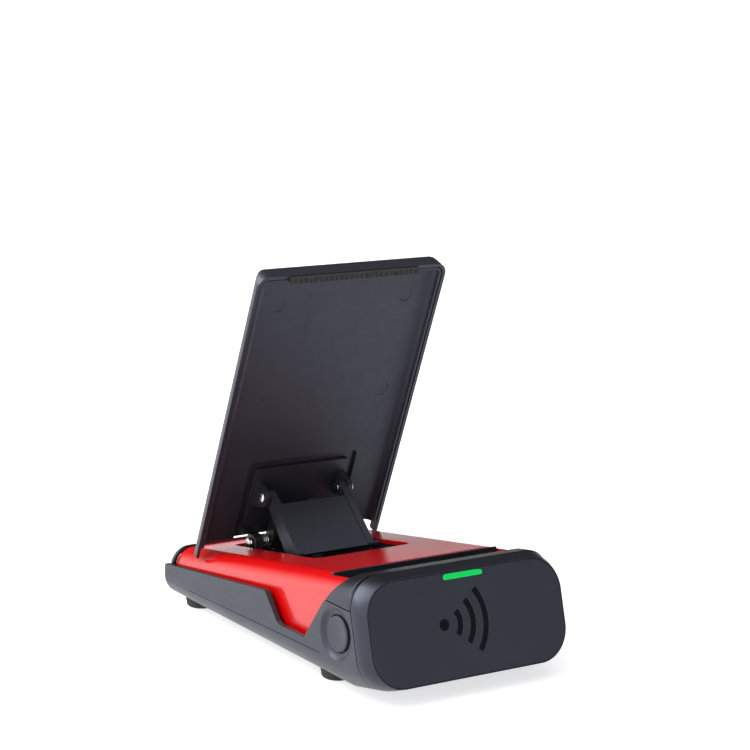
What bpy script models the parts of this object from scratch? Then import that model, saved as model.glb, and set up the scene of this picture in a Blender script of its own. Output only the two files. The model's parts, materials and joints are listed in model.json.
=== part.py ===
"""A pocket golf launch monitor with a fold-up phone stand, as an assembly of separate solids.

Metres, +Z up.  The origin is in the middle of the device's footprint, on the plane the rubber feet
stand on.  X runs across the device and Y from its front face to its rear.  The stand is modelled open.
"""
import math

import bmesh
import bpy
from mathutils import Matrix, Vector

# ---------------------------------------------------------------- driving dimensions
GAP = 0.0003                     # clearance between neighbouring pieces
CORNER_STEPS = 6                 # facets in a quarter round

# body envelope: a wedge, high at the front and low at the rear
BODY_HALF_WIDTH = 0.040
BODY_REAR_Y = 0.066
BELLY_Z = 0.0036                 # underside of the tub above the floor
REAR_TOP_Z = 0.0210              # envelope height at BODY_REAR_Y
TOP_SLOPE = 0.1647               # rise of the envelope per metre towards the front
CORNER_TOP = 0.010
CORNER_BELLY = 0.008
BELLY_RISE = 0.0010              # the underside lifts by this much at its front end
BELLY_RISE_Y = -0.050
WALL = 0.0018
CUT_Y = 0.100                    # cutters end here, well in front of or behind the body

# front face, leaning back
FACE_FOOT_Y = -0.066
FACE_FOOT_Z = 0.0065
FACE_LEAN = math.radians(16.1)
FACE_HALF_WIDTH = 0.0381
FACE_HEIGHT = 0.0345
FACE_CORNER = 0.0115
BEZEL_DEPTH = 0.0061
FACE_PLATE_THICKNESS = 0.0020
LIGHT_HALF_WIDTH = 0.0077
LIGHT_HALF_HEIGHT = 0.0009
LIGHT_CENTRE = 0.0326            # height of the status light up the face

# side walls of the tub: a low rail, a window for the red shell, a tall front
RAIL_REAR = (0.0616, 0.0158)
RAIL_FRONT = (-0.0014, 0.0235)
WINDOW_SILL_Z = 0.0143
WINDOW_SILL_REAR_Y = -0.0100
WINDOW_SILL_FRONT_Y = -0.0260
WINDOW_LEAN = 0.735              # forward lean of the window's front edge, dy per dz
FRONT_SEAM_Z = 0.0299            # seam between the tub and the front bridge

# red top shell
SHELL_HALF_WIDTH = 0.0366
SHELL_CORNER = 0.0070
SHELL_DROP = 0.0006              # how far it lies below the black envelope
SHELL_THICKNESS = 0.0015
SHELL_RIM_Z = 0.0115
SHELL_REAR_Y = 0.0640
WELL_HALF_WIDTH = 0.0195         # opening in the shell for the hinge and the strut
WELL_FRONT_Y = -0.0005
WELL_REAR_Y = 0.0540
WELL_DEPTH = 0.0104

# phone slot
PHONE_LEAN = math.radians(26.6)
SLOT_HALF_WIDTH = 0.0325
SLOT_REST_Y = -0.0417            # front lower edge of a resting phone
SLOT_REST_Z = 0.0374
SLOT_REAR_Y = -0.0302

# stand panel, measured up from the hinge axis (v) and back from its front rim (w)
HINGE_Y = 0.0481
HINGE_Z = 0.0241
STAND_LEAN = math.radians(20.2)
STAND_HALF_WIDTH = 0.0378
STAND_FOOT = -0.0026
STAND_HEAD = 0.1090
STAND_RIM = -0.0012              # rim plane, from the hinge axis
STAND_DEPTH = 0.0055
STAND_ROUND = 0.0053              # between its back and its side walls
STAND_SHOULDER = 0.0045          # corners of its head, seen from the front
STAND_SKIN = 0.0013
LINER_SKIN = 0.0009
POCKET_HALF_WIDTH = 0.0220
POCKET_HEAD = 0.0330

# strut between the panel and the well
STRUT_PIN_V = 0.02179
STRUT_PIN_W = -0.00351
STRUT_LEAN = math.radians(48.1)  # angle of the strut from upright, foot forward
STRUT_HALF_WIDTH = 0.0157
STRUT_LENGTH = 0.0262
PEG_PLACE = (0.0002, -0.0246)    # guide pegs at the strut's foot, from its pin
PEG_RADIUS = 0.0011
PEG_END_X = 0.0188
GUIDE_X = 0.0165                 # inner side of the guide rails in the tray
GUIDE_OPEN = (0.0191, -0.0014)   # peg centre (y, height over the shell) with the stand open
GUIDE_FOLDED = (0.0016, -0.0028)

PIN_RADIUS = 0.0012
PIN_BORE = 0.0015
PIN_STEPS = 16

# power button on the left side
BUTTON_Y = -0.0447
BUTTON_Z = 0.0206
BUTTON_RADIUS = 0.00605
BUTTON_FLANGE = 0.0010           # thickness of the cap's inner flange
BUTTON_TRAVEL = 0.0005
DISH_RADIUS = 0.0086
DISH_DEPTH = 0.0009

# charging socket on the right side
USB_Y = -0.0420
USB_Z = 0.0160

FOOT_X = 0.0285
FOOT_Y = (-0.0290, 0.0595)
FOOT_HEIGHT = 0.0033
SCREW_X = 0.0280
SCREW_Y = (-0.0120, 0.0450)
SCREW_RADIUS = 0.0011
BOSS_RADIUS = 0.0030

# ---------------------------------------------------------------- materials
FINISHES = {
    # name: (colour, roughness, metallic)
    "black_plastic": ((0.020, 0.021, 0.024), 0.45, 0.0),
    "face_plastic": ((0.016, 0.016, 0.021), 0.38, 0.0),
    "red_plastic": ((0.78, 0.006, 0.006), 0.18, 0.0),
    "light_green": ((0.0, 0.62, 0.10), 0.30, 0.0),
    "rubber": ((0.012, 0.012, 0.013), 0.85, 0.0),
    "steel": ((0.62, 0.62, 0.62), 0.25, 1.0),
    "board_green": ((0.01, 0.10, 0.04), 0.50, 0.0),
    "cell_wrap": ((0.03, 0.05, 0.16), 0.40, 0.0),
    "cable_orange": ((0.45, 0.16, 0.02), 0.45, 0.0),
}

# ---------------------------------------------------------------- scene and helpers


def clear_scene():
    for old in list(bpy.data.objects):
        bpy.data.objects.remove(old, do_unlink=True)


def new_collection(name):
    collection = bpy.data.collections.new(name)
    bpy.context.scene.collection.children.link(collection)
    return collection


def finish(name):
    """The Principled material of that name, made once."""
    material = bpy.data.materials.get(name)
    if material:
        return material
    colour, roughness, metallic = FINISHES[name]
    material = bpy.data.materials.new(name)
    material.use_nodes = True
    shader = material.node_tree.nodes["Principled BSDF"]
    shader.inputs["Base Color"].default_value = (*colour, 1.0)
    shader.inputs["Roughness"].default_value = roughness
    shader.inputs["Metallic"].default_value = metallic
    material.diffuse_color = (*colour, 1.0)
    return material


def add_mesh(name, mesh, material):
    """Link a mesh as a part, or as a cutter when no material is given."""
    obj = bpy.data.objects.new(name, mesh)
    if material:
        PARTS.objects.link(obj)
        mesh.materials.append(finish(material))
    else:
        CUTTERS.objects.link(obj)
        obj.hide_render = True
        obj.display_type = "WIRE"
    return obj


def from_bmesh(name, shape, material):
    bmesh.ops.recalc_face_normals(shape, faces=shape.faces)
    mesh = bpy.data.meshes.new(name)
    shape.to_mesh(mesh)
    shape.free()
    return add_mesh(name, mesh, material)


def boolean(obj, tool, operation="DIFFERENCE"):
    modifier = obj.modifiers.new(tool.name, "BOOLEAN")
    modifier.operation = operation
    modifier.object = tool
    return obj


def soften(obj, angle=35.0):
    obj.data.shade_smooth()
    obj.data.set_sharp_from_angle(angle=math.radians(angle))
    return obj


def box(name, low, high, material=None):
    """A box between two opposite corners."""
    low, high = Vector(low), Vector(high)
    shape = bmesh.new()
    bmesh.ops.create_cube(shape, size=1.0)
    bmesh.ops.scale(shape, vec=high - low, verts=shape.verts)
    bmesh.ops.translate(shape, vec=(low + high) / 2, verts=shape.verts)
    return from_bmesh(name, shape, material)


def rod(name, start, end, radius, end_radius=None, material=None, steps=PIN_STEPS):
    """A cylinder or a cone between two points."""
    start, end = Vector(start), Vector(end)
    turn = Vector((0, 0, 1)).rotation_difference(end - start).to_matrix().to_4x4()
    shape = bmesh.new()
    bmesh.ops.create_cone(shape, cap_ends=True, segments=steps, radius1=radius,
                          radius2=radius if end_radius is None else end_radius,
                          depth=(end - start).length)
    bmesh.ops.transform(shape, matrix=Matrix.Translation((start + end) / 2) @ turn,
                        verts=shape.verts)
    obj = from_bmesh(name, shape, material)
    return soften(obj)


def fillet(corners, steps=CORNER_STEPS):
    """Round a polygon given as (a, b, radius) corners; a radius of 0 stays sharp."""
    outline = []
    for index, (a, b, radius) in enumerate(corners):
        here = Vector((a, b))
        if radius == 0:
            outline.append((a, b))
            continue
        before = Vector(corners[index - 1][:2]) - here
        after = Vector(corners[(index + 1) % len(corners)][:2]) - here
        half = before.angle(after) / 2
        reach = radius / math.tan(half)
        centre = here + (before.normalized() + after.normalized()).normalized() * radius / math.sin(half)
        first = here + before.normalized() * reach - centre
        last = here + after.normalized() * reach - centre
        sweep = first.angle_signed(last)
        for step in range(steps + 1):
            spoke = first.copy()
            spoke.rotate(Matrix.Rotation(-sweep * step / steps, 2))
            outline.append(tuple(centre + spoke))
    return outline


def rounded_rectangle(half_width, low, high, low_radius, high_radius, steps=CORNER_STEPS):
    return fillet([(half_width, low, low_radius), (half_width, high, high_radius),
                   (-half_width, high, high_radius), (-half_width, low, low_radius)], steps)


def plate(name, outline, low, high, frame, material=None):
    """A flat outline in a frame's XY plane, thick from low to high along its Z."""
    curve = bpy.data.curves.new(name, "CURVE")
    curve.dimensions = "2D"
    curve.fill_mode = "BOTH"
    curve.extrude = (high - low) / 2
    spline = curve.splines.new("POLY")
    spline.points.add(len(outline) - 1)
    for point, (a, b) in zip(spline.points, outline):
        point.co = (a, b, 0, 1)
    spline.use_cyclic_u = True
    outline_object = bpy.data.objects.new(name + "_outline", curve)
    PARTS.objects.link(outline_object)
    depsgraph = bpy.context.evaluated_depsgraph_get()
    mesh = bpy.data.meshes.new_from_object(outline_object.evaluated_get(depsgraph))
    bpy.data.objects.remove(outline_object, do_unlink=True)
    shape = bmesh.new()
    shape.from_mesh(mesh)
    bpy.data.meshes.remove(mesh)
    bmesh.ops.remove_doubles(shape, verts=shape.verts, dist=1e-6)
    bmesh.ops.translate(shape, vec=(0, 0, (low + high) / 2), verts=shape.verts)
    bmesh.ops.transform(shape, matrix=frame, verts=shape.verts)
    return from_bmesh(name, shape, material)


def loft(name, rings, material=None):
    """A solid through matching rings of points, closed at both ends."""
    shape = bmesh.new()
    loops = [[shape.verts.new(point) for point in ring] for ring in rings]
    for lower, upper in zip(loops, loops[1:]):
        for index in range(len(lower)):
            after = (index + 1) % len(lower)
            shape.faces.new((lower[index], lower[after], upper[after], upper[index]))
    shape.faces.new(loops[0])
    shape.faces.new(loops[-1])
    return from_bmesh(name, shape, material)


def turned(name, profile, frame, material, steps=PIN_STEPS):
    """A turned solid about the frame's Z; the profile runs (radius, height) from top to bottom."""
    mesh = bpy.data.meshes.new(name)
    points = [(radius, 0, height) for radius, height in profile]
    mesh.from_pydata(points, [(i, i + 1) for i in range(len(points) - 1)], [])
    obj = add_mesh(name, mesh, material)
    obj.matrix_world = frame
    screw = obj.modifiers.new("turn", "SCREW")
    screw.steps = steps
    screw.render_steps = steps
    screw.use_merge_vertices = True
    screw.merge_threshold = 0.00001
    return obj


def basis(x_axis, y_axis, origin):
    """A frame from two of its axes and its origin."""
    x_axis, y_axis = Vector(x_axis).normalized(), Vector(y_axis).normalized()
    z_axis = x_axis.cross(y_axis)
    frame = Matrix((x_axis, y_axis, z_axis)).transposed().to_4x4()
    frame.translation = origin
    return frame


ACROSS = Vector((1, 0, 0))
FACE_UP = Vector((0, math.sin(FACE_LEAN), math.cos(FACE_LEAN)))
FACE = basis(ACROSS, FACE_UP, (0, FACE_FOOT_Y, FACE_FOOT_Z))           # Z points out of the face
SIDE = basis((0, 1, 0), (0, 0, 1), (0, 0, 0))                          # outline in (y, z), thick in X
PLAN = Matrix.Identity(4)                                              # outline in (x, y), thick in Z

STAND_UP = Vector((0, -math.sin(STAND_LEAN), math.cos(STAND_LEAN)))
STAND_BACK = Vector((0, math.cos(STAND_LEAN), math.sin(STAND_LEAN)))
HINGE = Vector((0, HINGE_Y, HINGE_Z))
STAND = basis(ACROSS, STAND_BACK, HINGE + STAND_BACK * STAND_RIM)      # coordinates (x, w, v)
STAND_FRONT = basis(ACROSS, STAND_UP, HINGE + STAND_BACK * STAND_RIM)  # coordinates (x, v, -w)
STAND_SIDE = basis(STAND_BACK, STAND_UP, HINGE + STAND_BACK * STAND_RIM)  # outline in (w, v), thick in X

STRUT_PIN = HINGE + STAND_UP * STRUT_PIN_V + STAND_BACK * STRUT_PIN_W
STRUT_UP = Vector((0, math.sin(STRUT_LEAN), math.cos(STRUT_LEAN)))
STRUT_SIDE = basis((0, math.cos(STRUT_LEAN), -math.sin(STRUT_LEAN)), STRUT_UP, STRUT_PIN)


def envelope_z(y):
    return REAR_TOP_Z + (BODY_REAR_Y - y) * TOP_SLOPE


def shell_z(y):
    return envelope_z(y) - SHELL_DROP


def window_edge_y(z):
    """The leaning line between the red shell and the black front."""
    return WINDOW_SILL_FRONT_Y - (z - WINDOW_SILL_Z) * WINDOW_LEAN


def face_ring(half_width, low_z, drop, low_radius, high_radius, offset):
    """Body section on a plane parallel to the face, `offset` in front of it."""
    up, out = FACE_UP, FACE.to_3x3() @ Vector((0, 0, 1))
    low = (low_z - FACE_FOOT_Z - out.z * offset) / up.z
    reach = envelope_z(FACE_FOOT_Y + out.y * offset) - drop - FACE_FOOT_Z - out.z * offset
    high = reach / (up.z + TOP_SLOPE * up.y)
    outline = rounded_rectangle(half_width, low, high, low_radius, high_radius)
    return [FACE @ Vector((x, rise, offset)) for x, rise in outline]


def cross_ring(half_width, low_z, drop, low_radius, high_radius, y):
    """Body section on the upright plane at y."""
    outline = rounded_rectangle(half_width, low_z, envelope_z(y) - drop, low_radius, high_radius)
    return [Vector((x, y, z)) for x, z in outline]


def wedge(name, half_width, low_z, drop, low_radius, high_radius, offset, rear_y, material=None):
    """Body-shaped wedge from a face-parallel plane to an upright rear plane."""
    return loft(name, [
        face_ring(half_width, low_z, drop, low_radius, high_radius, offset),
        cross_ring(half_width, low_z, drop, low_radius, min(high_radius, 0.0068), rear_y)], material)


def body_skin(name, material):
    """Outer shape of the body behind the bezel, with its underside lifting towards the face."""
    return loft(name, [
        face_ring(BODY_HALF_WIDTH, BELLY_Z + BELLY_RISE, 0, FACE_CORNER, FACE_CORNER, -BEZEL_DEPTH - GAP),
        cross_ring(BODY_HALF_WIDTH, BELLY_Z, 0, CORNER_BELLY, CORNER_TOP, BELLY_RISE_Y),
        cross_ring(BODY_HALF_WIDTH, BELLY_Z, 0, CORNER_BELLY, 0.0068, BODY_REAR_Y)], material)


# ---------------------------------------------------------------- body shells


def tub_room():
    """Cutter for the space inside the tub, one wall in from the body's skin, open above and in front."""
    half, low, corner = BODY_HALF_WIDTH - WALL, BELLY_Z + WALL, CORNER_BELLY - WALL
    front = (half, low + BELLY_RISE, -0.01, FACE_CORNER - WALL, 0.002)
    return loft("tub_hollow", [face_ring(*front, 0.010), face_ring(*front, -BEZEL_DEPTH - GAP),
                               cross_ring(half, low, -0.01, corner, 0.002, BELLY_RISE_Y + 0.010),
                               cross_ring(half, low, -0.01, corner, 0.002, CUT_Y)])


def base_tub():
    tub = body_skin("base_tub", "black_plastic")
    boolean(tub, tub_room())
    boolean(tub, plate("tub_rim", rim_outline(), -0.06, 0.06, SIDE))
    dish = rod("button_dish", (-BODY_HALF_WIDTH - 0.0002, BUTTON_Y, BUTTON_Z),
               (-BODY_HALF_WIDTH + DISH_DEPTH, BUTTON_Y, BUTTON_Z),
               DISH_RADIUS + 0.0005, BUTTON_RADIUS + 0.0008, steps=32)
    boolean(tub, dish)
    boolean(tub, rod("button_bore", (-0.045, BUTTON_Y, BUTTON_Z), (-0.036, BUTTON_Y, BUTTON_Z),
                     BUTTON_RADIUS + GAP, steps=32))
    port = rounded_rectangle(0.0045, USB_Z - 0.0021, USB_Z + 0.0021, 0.0012, 0.0012, 3)
    port = [(USB_Y + a, b) for a, b in port]
    boolean(tub, plate("usb_mouth", port, 0.036, 0.045, SIDE))
    for side in (-1, 1):
        for row, y in enumerate(SCREW_Y):
            place = (side * SCREW_X, y)
            name = f"screw_seat_{row}_{'left' if side < 0 else 'right'}"
            boolean(tub, rod(name + "_bore", (*place, 0), (*place, 0.01), SCREW_RADIUS + GAP, steps=12))
            boolean(tub, rod(name, (*place, 0), (*place, BELLY_Z + 0.0010), 0.0029))
    return soften(tub)


def rim_outline():
    """Everything above the tub's side walls, seen from the side."""
    slope = (RAIL_FRONT[1] - RAIL_REAR[1]) / (RAIL_REAR[0] - RAIL_FRONT[0])
    return fillet([
        (CUT_Y, RAIL_REAR[1] - (CUT_Y - RAIL_REAR[0]) * slope, 0),
        (*RAIL_FRONT, 0.0018),
        (WINDOW_SILL_REAR_Y, WINDOW_SILL_Z, 0.0040),
        (WINDOW_SILL_FRONT_Y, WINDOW_SILL_Z, 0.0006),
        (window_edge_y(FRONT_SEAM_Z), FRONT_SEAM_Z, 0),
        (-CUT_Y, FRONT_SEAM_Z, 0),
        (-CUT_Y, 0.080, 0),
        (CUT_Y, 0.080, 0)], 4)


def front_bridge():
    """Black bridge between the bezel and the red shell; its rear edge is the phone's lip."""
    bridge = body_skin("front_bridge", "black_plastic")
    seam = FRONT_SEAM_Z + GAP
    keep = plate("bridge_side", [(-CUT_Y, seam), (window_edge_y(seam), seam),
                                 (window_edge_y(0.060), 0.060), (-CUT_Y, 0.060)],
                 -0.06, 0.06, SIDE)
    boolean(bridge, keep, "INTERSECT")
    inside = wedge("bridge_hollow", BODY_HALF_WIDTH - WALL, 0.004, WALL, 0.002,
                   CORNER_TOP - WALL, 0.010, BODY_REAR_Y)
    shift = WALL * math.hypot(1, WINDOW_LEAN)
    room = plate("bridge_room", [(-CUT_Y, 0.02), (window_edge_y(0.02) - shift, 0.02),
                                 (window_edge_y(0.060) - shift, 0.060), (-CUT_Y, 0.060)],
                 -0.05, 0.05, SIDE)
    boolean(inside, room, "INTERSECT")
    boolean(bridge, inside)
    return soften(bridge)


def front_bezel():
    """Black ring that carries the face plate: a crisp top edge, round sides and lower edge."""
    low, high = face_ring_limits(-BEZEL_DEPTH)
    rings = []
    for depth in (0.0, 0.25, 0.45, 0.65, 0.82, 1.0):
        turn_in = depth ** 2
        half = BODY_HALF_WIDTH + (FACE_HALF_WIDTH - BODY_HALF_WIDTH) * turn_in
        bottom = low * (1 - turn_in)
        top = high + (FACE_HEIGHT - high) * depth
        outline = rounded_rectangle(half, bottom, top, FACE_CORNER, FACE_CORNER)
        rings.append([FACE @ Vector((x, rise, -BEZEL_DEPTH * (1 - depth))) for x, rise in outline])
    bezel = loft("front_bezel", rings, "black_plastic")
    recess = inset_face(0.0003)
    boolean(bezel, plate("bezel_recess", recess, -FACE_PLATE_THICKNESS - GAP, 0.01, FACE))
    boolean(bezel, plate("bezel_opening", inset_face(0.0045), -0.02, 0.0, FACE))
    boolean(bezel, plate("bezel_light_slot", light_outline(GAP), -0.02, 0.0, FACE))
    return soften(bezel)


def face_ring_limits(offset):
    """Lowest and highest point of the body section at a face-parallel plane."""
    inverse = FACE.inverted()
    ring = face_ring(BODY_HALF_WIDTH, BELLY_Z + BELLY_RISE, 0, FACE_CORNER, FACE_CORNER, offset)
    heights = [(inverse @ point).y for point in ring]
    return min(heights), max(heights)


def inset_face(inset):
    return rounded_rectangle(FACE_HALF_WIDTH - inset, inset, FACE_HEIGHT - inset,
                             FACE_CORNER - inset, FACE_CORNER - inset)


def light_outline(grow):
    reach = LIGHT_HALF_HEIGHT + grow
    outline = rounded_rectangle(LIGHT_HALF_WIDTH + grow, -reach, reach, reach * 0.98, reach * 0.98, 3)
    return [(x, rise + LIGHT_CENTRE) for x, rise in outline]


def face_plate():
    face = plate("face_plate", inset_face(0.0003 + GAP), -FACE_PLATE_THICKNESS, 0, FACE, "face_plastic")
    boolean(face, plate("light_slot", light_outline(GAP / 3), -0.01, 0.01, FACE))
    return soften(face)


def light_parts():
    plate("light_pipe", light_outline(-GAP / 3), -0.0064, 0.0, FACE, "light_green")
    plate("light_board", rounded_rectangle(0.012, 0.0288, 0.0338, 0.0005, 0.0005, 1),
          -0.0077, -0.0067, FACE, "board_green")


def top_shell():
    """Red wedge-shaped top shell, open below, with the well and the phone slot cut out."""
    shell = wedge("top_shell", SHELL_HALF_WIDTH, SHELL_RIM_Z, SHELL_DROP, 0.0005, SHELL_CORNER,
                  -0.001, SHELL_REAR_Y, "red_plastic")
    boolean(shell, wedge("shell_hollow", SHELL_HALF_WIDTH - SHELL_THICKNESS, -0.004,
                         SHELL_DROP + SHELL_THICKNESS, 0.0005, SHELL_CORNER - SHELL_THICKNESS,
                         0.010, CUT_Y))
    gap = GAP * math.hypot(1, WINDOW_LEAN)
    front = [(-CUT_Y, 0.0), (window_edge_y(0.0) + gap, 0.0), (window_edge_y(0.060) + gap, 0.060),
             (-CUT_Y, 0.060)]
    boolean(shell, plate("shell_front", front, -0.06, 0.06, SIDE))
    well = rounded_rectangle(WELL_HALF_WIDTH, WELL_FRONT_Y, WELL_REAR_Y, 0.003, 0.003, 3)
    boolean(shell, plate("shell_well", well, 0.005, 0.06, PLAN))
    slot = [(-CUT_Y, shell_z(SLOT_REAR_Y) - 0.006), (SLOT_REAR_Y + GAP, shell_z(SLOT_REAR_Y) - 0.006),
            (SLOT_REAR_Y + GAP, 0.06), (-CUT_Y, 0.06)]
    boolean(shell, plate("shell_slot", slot, -SLOT_HALF_WIDTH - GAP, SLOT_HALF_WIDTH + GAP, SIDE))
    for x in (-SCREW_X, SCREW_X):
        for y in SCREW_Y:
            end = BELLY_Z + WALL + GAP
            name = f"boss_{'left' if x < 0 else 'right'}_{'front' if y == SCREW_Y[0] else 'rear'}"
            boss = rod(name, (x, y, end), (x, y, shell_z(y) - SHELL_THICKNESS / 2), BOSS_RADIUS, steps=12)
            boolean(shell, boss, "UNION")
            boolean(shell, rod(name + "_bore", (x, y, 0), (x, y, 0.0125), SCREW_RADIUS + GAP, steps=12))
    return soften(shell)


def phone_ledge():
    """Ledge under the phone's lower edge, with its rubber pad."""
    pad, sheet, wall = 0.0010, 0.0021, 0.0012
    near, far = 0.0008, 0.0108
    half = SLOT_HALF_WIDTH - 0.001
    plate("ledge_pad", [ledge_point(near, 0), ledge_point(near, pad), ledge_point(far, pad),
                        ledge_point(far, 0)], -half, half, SIDE, "rubber")
    top, base, rear = pad + GAP, pad + GAP + sheet, SLOT_REAR_Y
    profile = [ledge_point(lip_reach(top), top), ledge_point(lip_reach(base), base),
               (rear, ledge_point(far, base)[1]), (rear, shell_z(rear) - GAP / 3),
               (rear - wall, shell_z(rear - wall) - GAP / 3),
               (rear - wall, ledge_point(far + GAP, top)[1]), ledge_point(far + GAP, top)]
    plate("phone_ledge", profile, -SLOT_HALF_WIDTH, SLOT_HALF_WIDTH, SIDE, "black_plastic")


def ledge_point(reach, depth):
    """A point (y, z) of the ledge: reach back along a resting phone's edge, depth below it."""
    y = SLOT_REST_Y + reach * math.cos(PHONE_LEAN) - depth * math.sin(PHONE_LEAN)
    z = SLOT_REST_Z - reach * math.sin(PHONE_LEAN) - depth * math.cos(PHONE_LEAN)
    return y, z


def lip_reach(depth):
    """Reach at which the ledge, at that depth, comes within a gap of the bridge."""
    y, z = ledge_point(0, depth)
    missing = window_edge_y(z) + 2 * GAP - y
    return missing / (math.cos(PHONE_LEAN) - WINDOW_LEAN * math.sin(PHONE_LEAN))


def rear_end():
    """Rear ring, the radar window inside it and the antenna behind the window."""
    front, rear = SHELL_REAR_Y + GAP, BODY_REAR_Y
    half, low = BODY_HALF_WIDTH - WALL - GAP, BELLY_Z + WALL + GAP
    ring = loft("rear_bezel", [cross_ring(half, low, 0, 0.0062, 0.0072, front),
                               cross_ring(half, low, 0, 0.0062, 0.0072, rear)], "black_plastic")
    seat = 0.0019
    opening = (half - seat, low + seat, seat, 0.0044, 0.0044)
    boolean(ring, loft("rear_opening", [cross_ring(*opening, front - 0.004),
                                        cross_ring(*opening, rear + 0.004)]))
    soften(ring)
    inner = seat + GAP
    inner_ring = (half - inner, low + inner, inner, 0.0042, 0.0042)
    window = loft("radar_window", [cross_ring(*inner_ring, rear - 0.0016),
                                   cross_ring(*inner_ring, rear - 0.0006)], "face_plastic")
    soften(window)
    board = rear - 0.0030
    box("radar_board", (-0.030, board - 0.0012, 0.0085), (0.030, board, 0.0165), "board_green")
    box("radar_shield", (-0.022, board - 0.0040, 0.0095), (0.006, board - 0.0015, 0.0150), "steel")


def hinge_tray():
    """Black tray under the well; its lugs hold the stand's hinge pins."""
    front, rear = WELL_FRONT_Y - 0.0015, WELL_REAR_Y + 0.0015
    depth = WELL_DEPTH
    under = SHELL_THICKNESS + GAP
    half = WELL_HALF_WIDTH + 0.0015
    profile = [(front, shell_z(front) - under), (front, shell_z(front) - depth),
               (rear, shell_z(rear) - depth), (rear, shell_z(rear) - under)]
    tray = plate("hinge_tray", profile, -half, half, SIDE, "black_plastic")
    skin = 0.0012
    room = [(front + skin, 0.06), (front + skin, shell_z(front + skin) - depth + skin),
            (rear - skin, shell_z(rear - skin) - depth + skin), (rear - skin, 0.06)]
    boolean(tray, plate("tray_room", room, -half + skin, half - skin, SIDE))
    for side in (-1, 1):
        foot_z = shell_z(HINGE_Y) - depth + skin / 2
        lug = fillet([(HINGE_Y - 0.0042, foot_z, 0), (HINGE_Y + 0.0042, foot_z, 0),
                      (HINGE_Y + 0.0031, HINGE_Z + 0.0031, 0.0030),
                      (HINGE_Y - 0.0031, HINGE_Z + 0.0031, 0.0030)], 5)
        low, high = sorted((side * 0.0122, side * 0.0156))
        name = "tray_lug_left" if side < 0 else "tray_lug_right"
        boolean(tray, plate(name, lug, low, high, SIDE), "UNION")
        low, high = sorted((side * GUIDE_X, side * (WELL_HALF_WIDTH - GAP)))
        guide = plate(name.replace("lug", "guide"), guide_rail(front + skin / 2), low, high, SIDE)
        boolean(tray, guide, "UNION")
    boolean(tray, rod("tray_bore", (-0.03, HINGE_Y, HINGE_Z), (0.03, HINGE_Y, HINGE_Z), PIN_BORE))
    return soften(tray)


def guide_rail(front):
    """Side view of a rail for the strut's peg; its catch holds the peg when the stand is open."""
    (open_y, open_height), (folded_y, folded_height) = GUIDE_OPEN, GUIDE_FOLDED
    slope = (open_height - folded_height) / (open_y - folded_y)
    catch = open_y + PEG_RADIUS + GAP
    rear = catch + 0.0019

    def rail_z(y):
        return shell_z(y) + open_height + (y - open_y) * slope - PEG_RADIUS - GAP

    def floor_z(y):
        return shell_z(y) - WELL_DEPTH + 0.0006

    return [(front, floor_z(front)), (rear, floor_z(rear)), (rear, shell_z(rear) + open_height),
            (catch, shell_z(catch) + open_height), (catch, rail_z(catch)), (front, rail_z(front))]


# ---------------------------------------------------------------- electronics and fasteners


def electronics():
    box("main_board", (-0.0225, -0.032, 0.0072), (0.0225, 0.056, 0.0084), "board_green")
    box("processor_shield", (-0.012, 0.026, 0.0087), (0.014, 0.046, 0.0108), "steel")
    cell = fillet([(-0.0005, 0.0090, 0.0025), (-0.0005, 0.0195, 0.0040), (-0.0315, 0.0195, 0.0040),
                   (-0.0315, 0.0090, 0.0025)], 3)
    plate("battery_pack", cell, -0.0235, 0.0235, SIDE, "cell_wrap")
    antenna_cable()
    usb_port()
    box("usb_board", (0.0230, USB_Y - 0.0065, USB_Z - 0.0030), (0.0378, USB_Y + 0.0065, USB_Z - 0.0020),
        "board_green")
    button_switch()


def antenna_cable():
    """Flat cable from the main board, up behind the radar board."""
    front, rear, low, high, thickness = 0.0490, 0.0585, 0.0088, 0.0150, 0.0003
    path = [(front, low), (rear, low), (rear, high)]
    inside = [(rear - thickness, high), (rear - thickness, low + thickness), (front, low + thickness)]
    plate("antenna_cable", path + inside, 0.0080, 0.0200, SIDE, "cable_orange")


def button_switch():
    """Switch behind the power button, just beyond the end of the button's travel."""
    stem = -BODY_HALF_WIDTH + WALL + GAP + BUTTON_FLANGE + BUTTON_TRAVEL + GAP / 2
    front, back, board = stem + 0.0005, stem + 0.0014, stem + 0.0017
    box("button_board", (board, BUTTON_Y - 0.0070, BUTTON_Z - 0.0060),
        (board + 0.0010, BUTTON_Y + 0.0070, BUTTON_Z + 0.0060), "board_green")
    switch = box("tact_switch", (front, BUTTON_Y - 0.0026, BUTTON_Z - 0.0026),
                 (back, BUTTON_Y + 0.0026, BUTTON_Z + 0.0026), "steel")
    boolean(switch, rod("switch_stem", (stem, BUTTON_Y, BUTTON_Z),
                        ((front + back) / 2, BUTTON_Y, BUTTON_Z), 0.0013, steps=12), "UNION")


def usb_port():
    shell = rounded_rectangle(0.0039, USB_Z - 0.0015, USB_Z + 0.0015, 0.0008, 0.0008, 2)
    port = plate("usb_port", [(USB_Y + a, b) for a, b in shell], 0.0330, 0.0388, SIDE, "steel")
    mouth = rounded_rectangle(0.0035, USB_Z - 0.0011, USB_Z + 0.0011, 0.0006, 0.0006, 2)
    return boolean(port, plate("usb_cavity", [(USB_Y + a, b) for a, b in mouth], 0.0340, 0.0400, SIDE))


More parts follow.
